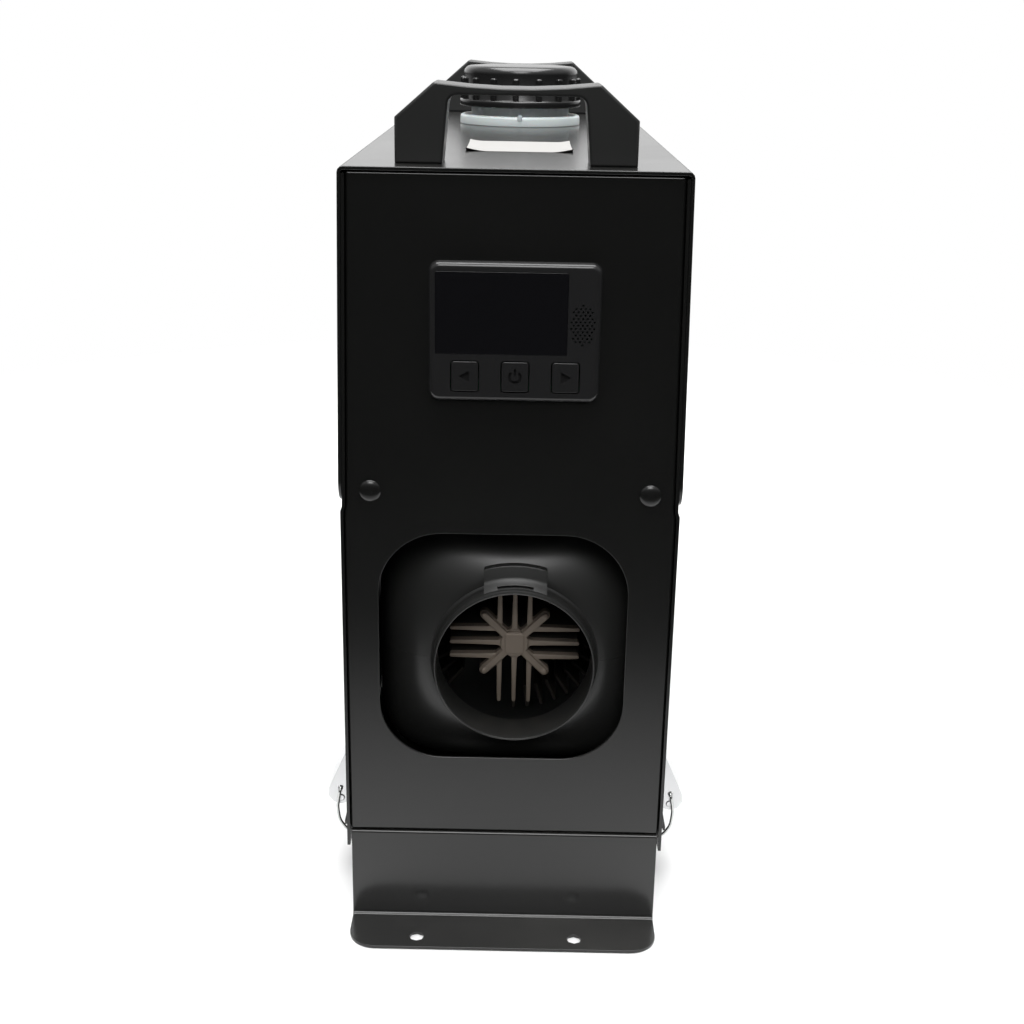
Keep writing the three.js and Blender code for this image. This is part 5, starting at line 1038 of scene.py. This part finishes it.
def controller_outline(inset, corner):
    half_width, half_height = CONTROLLER_HALF_WIDTH - inset, CONTROLLER_HALF_HEIGHT - inset
    return rounded_rect(CONTROLLER_X - half_width, CONTROLLER_X + half_width,
                        CONTROLLER_Z - half_height, CONTROLLER_Z + half_height, corner)


def window_outline(inset, corner):
    return rounded_rect(-33.0 + inset, 23.0 - inset, 280.5 + inset, 315.6 - inset, corner, 3)


def button_outline(x, half_width, half_height, corner):
    return rounded_rect(x - half_width, x + half_width,
                        BUTTON_Z - half_height, BUTTON_Z + half_height, corner, 4)


def speaker_places(pitch):
    """Staggered holes inside an oval, in millimetres."""
    half_width, half_height = 5.4, 8.5
    places = []
    for row in range(-6, 7):
        for column in range(-4, 5):
            a, b = (column + 0.5 * (row % 2)) * pitch, row * pitch * 0.72
            if (a / half_width) ** 2 + (b / half_height) ** 2 < 1:
                places.append((SPEAKER_X + a, 0, SPEAKER_Z + b))
    return places


class HEATER_OT_controller(bpy.types.Operator):
    """Controller: bezel with speaker holes, dark window and three buttons"""

    bl_idname = "heater.controller"
    bl_label = "Controller"

    def execute(self, context):
        sizes = context.scene.heater_sizes
        inset, depth, corner = 2.5, 2.9, 4.6
        rows = [(0.0, PANEL_FACE), (0.0, CONTROLLER_FACE + depth)]
        for step in range(1, 11):
            angle = math.pi / 20 * step
            rows.append((inset * (1 - math.cos(angle)), CONTROLLER_FACE + depth * (1 - math.sin(angle))))
        rows.append((inset + 0.2, CONTROLLER_FACE))
        bm = bmesh.new()
        rings = [[bm.verts.new((a, y, b)) for a, b in controller_outline(reach, corner - 0.9 * reach)]
                 for reach, y in rows]
        add_rings(bm, rings, capped=True)
        plate = closed_mesh("plate", bm)
        ahead, behind = -224, -218
        cutters = [prism_mesh("pocket", window_outline(0, 0.6), ahead, -221.2),
                   prism_mesh("through", window_outline(2, 0.6), ahead, behind)]
        cutters += [prism_mesh("hole", button_outline(x, 6.2, 6.9, 1.6), ahead, behind)
                    for x in BUTTON_X.values()]
        drill = rod_mesh("drill", sizes.speaker_hole / MM, ahead, behind, (0, 0), "Y", 12)
        cutters.append(placed_copies(drill, speaker_places(sizes.speaker_pitch / MM), "black_plastic"))
        plate = smoothed(combined(plate, cutters), 40)
        body = prism_mesh("body", controller_outline(1.5, 4.0), PANEL_FACE, -205.0)
        room = prism_mesh("room", controller_outline(2.5, 3.0), PANEL_FACE - 1, -204.0)
        bezel = together("bezel", [plate, combined(body, [room])])
        piece("controller_frame", bezel, "case", "controller_plastic", "controller_bezel")
        lens = prism_mesh("lens", window_outline(0.1, 0.5), CONTROLLER_FACE, -221.3)
        piece("controller_window", rounded(lens, 0.15), "case", "dark_screen", "controller_lens")
        for name, x in BUTTON_X.items():
            key = prism_mesh("key", button_outline(x, 5.75, 6.45, 1.2), CONTROLLER_FACE, -217.9)
            key = even_shading(combined(rounded(key, 0.35, 3), [symbol_cutter(name, x)]), 40)
            piece("key_" + name, key, "button_" + name, "controller_plastic", "button_" + name)
        return {"FINISHED"}


class HEATER_OT_latches(bpy.types.Operator):
    """Four toggle latches: plates, levers and wire bails"""

    bl_idname = "heater.latches"
    bl_label = "Latches"

    def execute(self, context):
        radius = context.scene.heater_sizes.wire_radius / MM
        leg = [(8.4, 9.0, 5.7), (8.4, 11.4, 5.7), (8.6, 12.7, 4.7), (9.0, 13, 2.6), (9.6, 13, -1.0),
               (9.8, 13, -4.5), (9.1, 13, -10.5), (7.3, 13, -14.2), (5.2, 13, -16.6), (3.6, 12, -17.5),
               (3.2, 10, -17.7)]
        route = leg + [(3.2, 0, -17.7)] + [(u, -v, z) for u, v, z in leg[::-1]]
        for name, (side, y) in LATCH_SIDES.items():
            fine_piece("plate_" + name, "latch_plate_" + name, "case", "zinc_steel")
            fine_piece("lever_" + name, "latch_lever_" + name, "lever_" + name, "zinc_steel")
            path = [(side * (CASE_HALF_WIDTH + u), y + side * v, LATCH_Z + z) for u, v, z in route]
            bm = bmesh.new()
            add_sweep(bm, smooth_path(path, 5), radius, 12)
            wire = smoothed(closed_mesh("wire", bm), 60)
            piece("wire_" + name, wire, "bail_" + name, "dark_wire", "latch_bail_" + name)
        return {"FINISHED"}


class HEATER_OT_label(bpy.types.Operator):
    """Blank paper label on the cover, with curled corners"""

    bl_idname = "heater.label"
    bl_label = "Label"

    def execute(self, context):
        lift = context.scene.heater_sizes.label_lift / MM
        x0, x1, y0, y1, count = -24.0, 26.0, -137.0, -75.0, 28
        gap, thickness = 0.05, 0.12
        bm = bmesh.new()
        rows = []
        for j in range(count + 1):
            row = []
            for i in range(count + 1):
                u, v = i / count, j / count
                near = max(0.0, 1 - math.hypot(min(u, 1 - u) * 5, v * 6))
                far = max(0.0, 1 - math.hypot(min(u, 1 - u) * 8, (1 - v) * 8))
                z = CASE_TOP + gap + lift * near ** 1.6 + 0.5 * lift * far ** 1.6
                row.append(bm.verts.new((x0 + (x1 - x0) * u, y0 + (y1 - y0) * v, z)))
            rows.append(row)
        for lower, upper in zip(rows, rows[1:]):
            for k in range(count):
                bm.faces.new((lower[k], lower[k + 1], upper[k + 1], upper[k]))
        sheet = shaped(closed_mesh("label", bm), ("SOLIDIFY", {"thickness": thickness * MM, "offset": 1.0}))
        piece("blank_label", smoothed(sheet), "case", "label_paper")
        return {"FINISHED"}


def camera_matrix(studio):
    """The camera's place and turn, looking along y when nothing is turned."""
    yaw, pitch, roll = studio.yaw, studio.pitch, studio.roll
    ahead = Vector((math.sin(yaw) * math.cos(pitch), math.cos(yaw) * math.cos(pitch), -math.sin(pitch)))
    right = Vector((math.cos(yaw), -math.sin(yaw), 0))
    up = right.cross(ahead)
    right, up = (math.cos(roll) * right + math.sin(roll) * up, -math.sin(roll) * right + math.cos(roll) * up)
    turn = Matrix((right, up, -ahead)).transposed().to_4x4()
    return Matrix.Translation(Vector(studio.camera_place)) @ turn


def studio_world():
    """White to the camera; dark low down, bright above and behind, with a soft screen high in front."""
    world = bpy.context.scene.world or bpy.data.worlds.new("studio")
    bpy.context.scene.world = world
    world.use_nodes = True
    tree = world.node_tree
    tree.nodes.clear()
    coords = add_node(tree, "ShaderNodeTexCoord").outputs["Generated"]
    way = add_node(tree, "ShaderNodeSeparateXYZ", {0: coords})
    above = span(tree, way.outputs[2], 0.15, 0.6, 0.02, 0.6)
    behind = span(tree, way.outputs[1], 0.3, 0.8, 0.0, 1.2)
    raised = span(tree, way.outputs[2], 0.0, 0.06, 0.0, 1.0)
    level = calc(tree, "MAXIMUM", above, calc(tree, "MULTIPLY", behind, raised))
    near = add_node(tree, "ShaderNodeVectorMath", {0: coords, 1: (0.0, -0.74, 0.67)}, operation="DOT_PRODUCT")
    screen = span(tree, near.outputs["Value"], 0.955, 0.985, 0.0, 6.5)
    level = calc(tree, "ADD", level, screen)
    shown = calc(tree, "MAXIMUM", level, add_node(tree, "ShaderNodeLightPath").outputs["Is Camera Ray"])
    light = add_node(tree, "ShaderNodeBackground", {"Strength": shown, "Color": (1, 1, 1, 1)})
    add_node(tree, "ShaderNodeOutputWorld", {"Surface": light.outputs[0]})


class HEATER_OT_stage(bpy.types.Operator):
    """Pale floor, soft light and the camera"""

    bl_idname = "heater.stage"
    bl_label = "Stage"

    def execute(self, context):
        studio = context.scene.heater_studio
        bm = bmesh.new()
        bmesh.ops.create_circle(bm, cap_ends=True, segments=96, radius=studio.floor_radius)
        mesh = bpy.data.meshes.new("pale_floor")
        bm.to_mesh(mesh)
        bm.free()
        floor = bpy.data.objects.new("pale_floor", mesh)
        context.scene.collection.objects.link(floor)
        floor.location = (0, studio.floor_back, -0.0002)
        material = bpy.data.materials.new("pale_floor")
        material.use_nodes = True
        tree = material.node_tree
        shader = tree.nodes["Principled BSDF"]
        shader.inputs["Base Color"].default_value = (0.93, 0.93, 0.93, 1)
        shader.inputs["Roughness"].default_value = 0.8
        coords = add_node(tree, "ShaderNodeTexCoord").outputs["Object"]
        reach = add_node(tree, "ShaderNodeVectorMath", {0: coords}, operation="LENGTH")
        fade = span(tree, reach.outputs["Value"], studio.floor_radius * 0.6, studio.floor_radius * 0.92,
                    1.0, 0.0)
        tree.links.new(fade, shader.inputs["Alpha"])
        mesh.materials.append(material)
        studio_world()
        light = bpy.data.lights.new("overhead", "AREA")
        light.shape = "RECTANGLE"
        light.size, light.size_y = 1.2, 1.2
        light.energy = studio.overhead
        lamp = bpy.data.objects.new("overhead", light)
        context.scene.collection.objects.link(lamp)
        lamp.location = (0, 0, 1.5)
        camera = bpy.data.cameras.new("camera")
        camera.sensor_width = 36
        camera.lens = studio.focal
        camera.shift_y = studio.rise
        viewer = bpy.data.objects.new("camera", camera)
        context.scene.collection.objects.link(viewer)
        viewer.matrix_world = camera_matrix(studio)
        context.scene.camera = viewer
        context.scene.view_settings.view_transform = "Standard"
        return {"FINISHED"}


PIECE_OPERATORS = (
    HEATER_OT_case, HEATER_OT_base, HEATER_OT_handles, HEATER_OT_tank, HEATER_OT_cap, HEATER_OT_shell,
    HEATER_OT_exchanger, HEATER_OT_blower, HEATER_OT_fuel_lines, HEATER_OT_electrics, HEATER_OT_controller,
    HEATER_OT_latches, HEATER_OT_label, HEATER_OT_stage,
)


class HEATER_PT_pieces(bpy.types.Panel):
    """Lists the pieces and their sizes"""

    bl_idname = "HEATER_PT_pieces"
    bl_label = "Air heater"
    bl_space_type = "VIEW_3D"
    bl_region_type = "UI"
    bl_category = "Heater"

    def draw(self, context):
        for operator in PIECE_OPERATORS:
            self.layout.operator(operator.bl_idname)
        for group in (context.scene.heater_sizes, context.scene.heater_colours, context.scene.heater_studio):
            box = self.layout.box()
            for name in group.__annotations__:
                box.prop(group, name)


CLASSES = (HeaterSizes, HeaterColours, StudioSettings) + PIECE_OPERATORS + (HEATER_PT_pieces,)


def register():
    for made in CLASSES:
        bpy.utils.register_class(made)
    bpy.types.Scene.heater_sizes = bpy.props.PointerProperty(type=HeaterSizes)
    bpy.types.Scene.heater_colours = bpy.props.PointerProperty(type=HeaterColours)
    bpy.types.Scene.heater_studio = bpy.props.PointerProperty(type=StudioSettings)


def unregister():
    del bpy.types.Scene.heater_sizes
    del bpy.types.Scene.heater_colours
    del bpy.types.Scene.heater_studio
    for made in reversed(CLASSES):
        bpy.utils.unregister_class(made)


def main():
    register()
    for operator in PIECE_OPERATORS:
        group, name = operator.bl_idname.split(".")
        getattr(getattr(bpy.ops, group), name)()


if __name__ == "__main__":
    main()
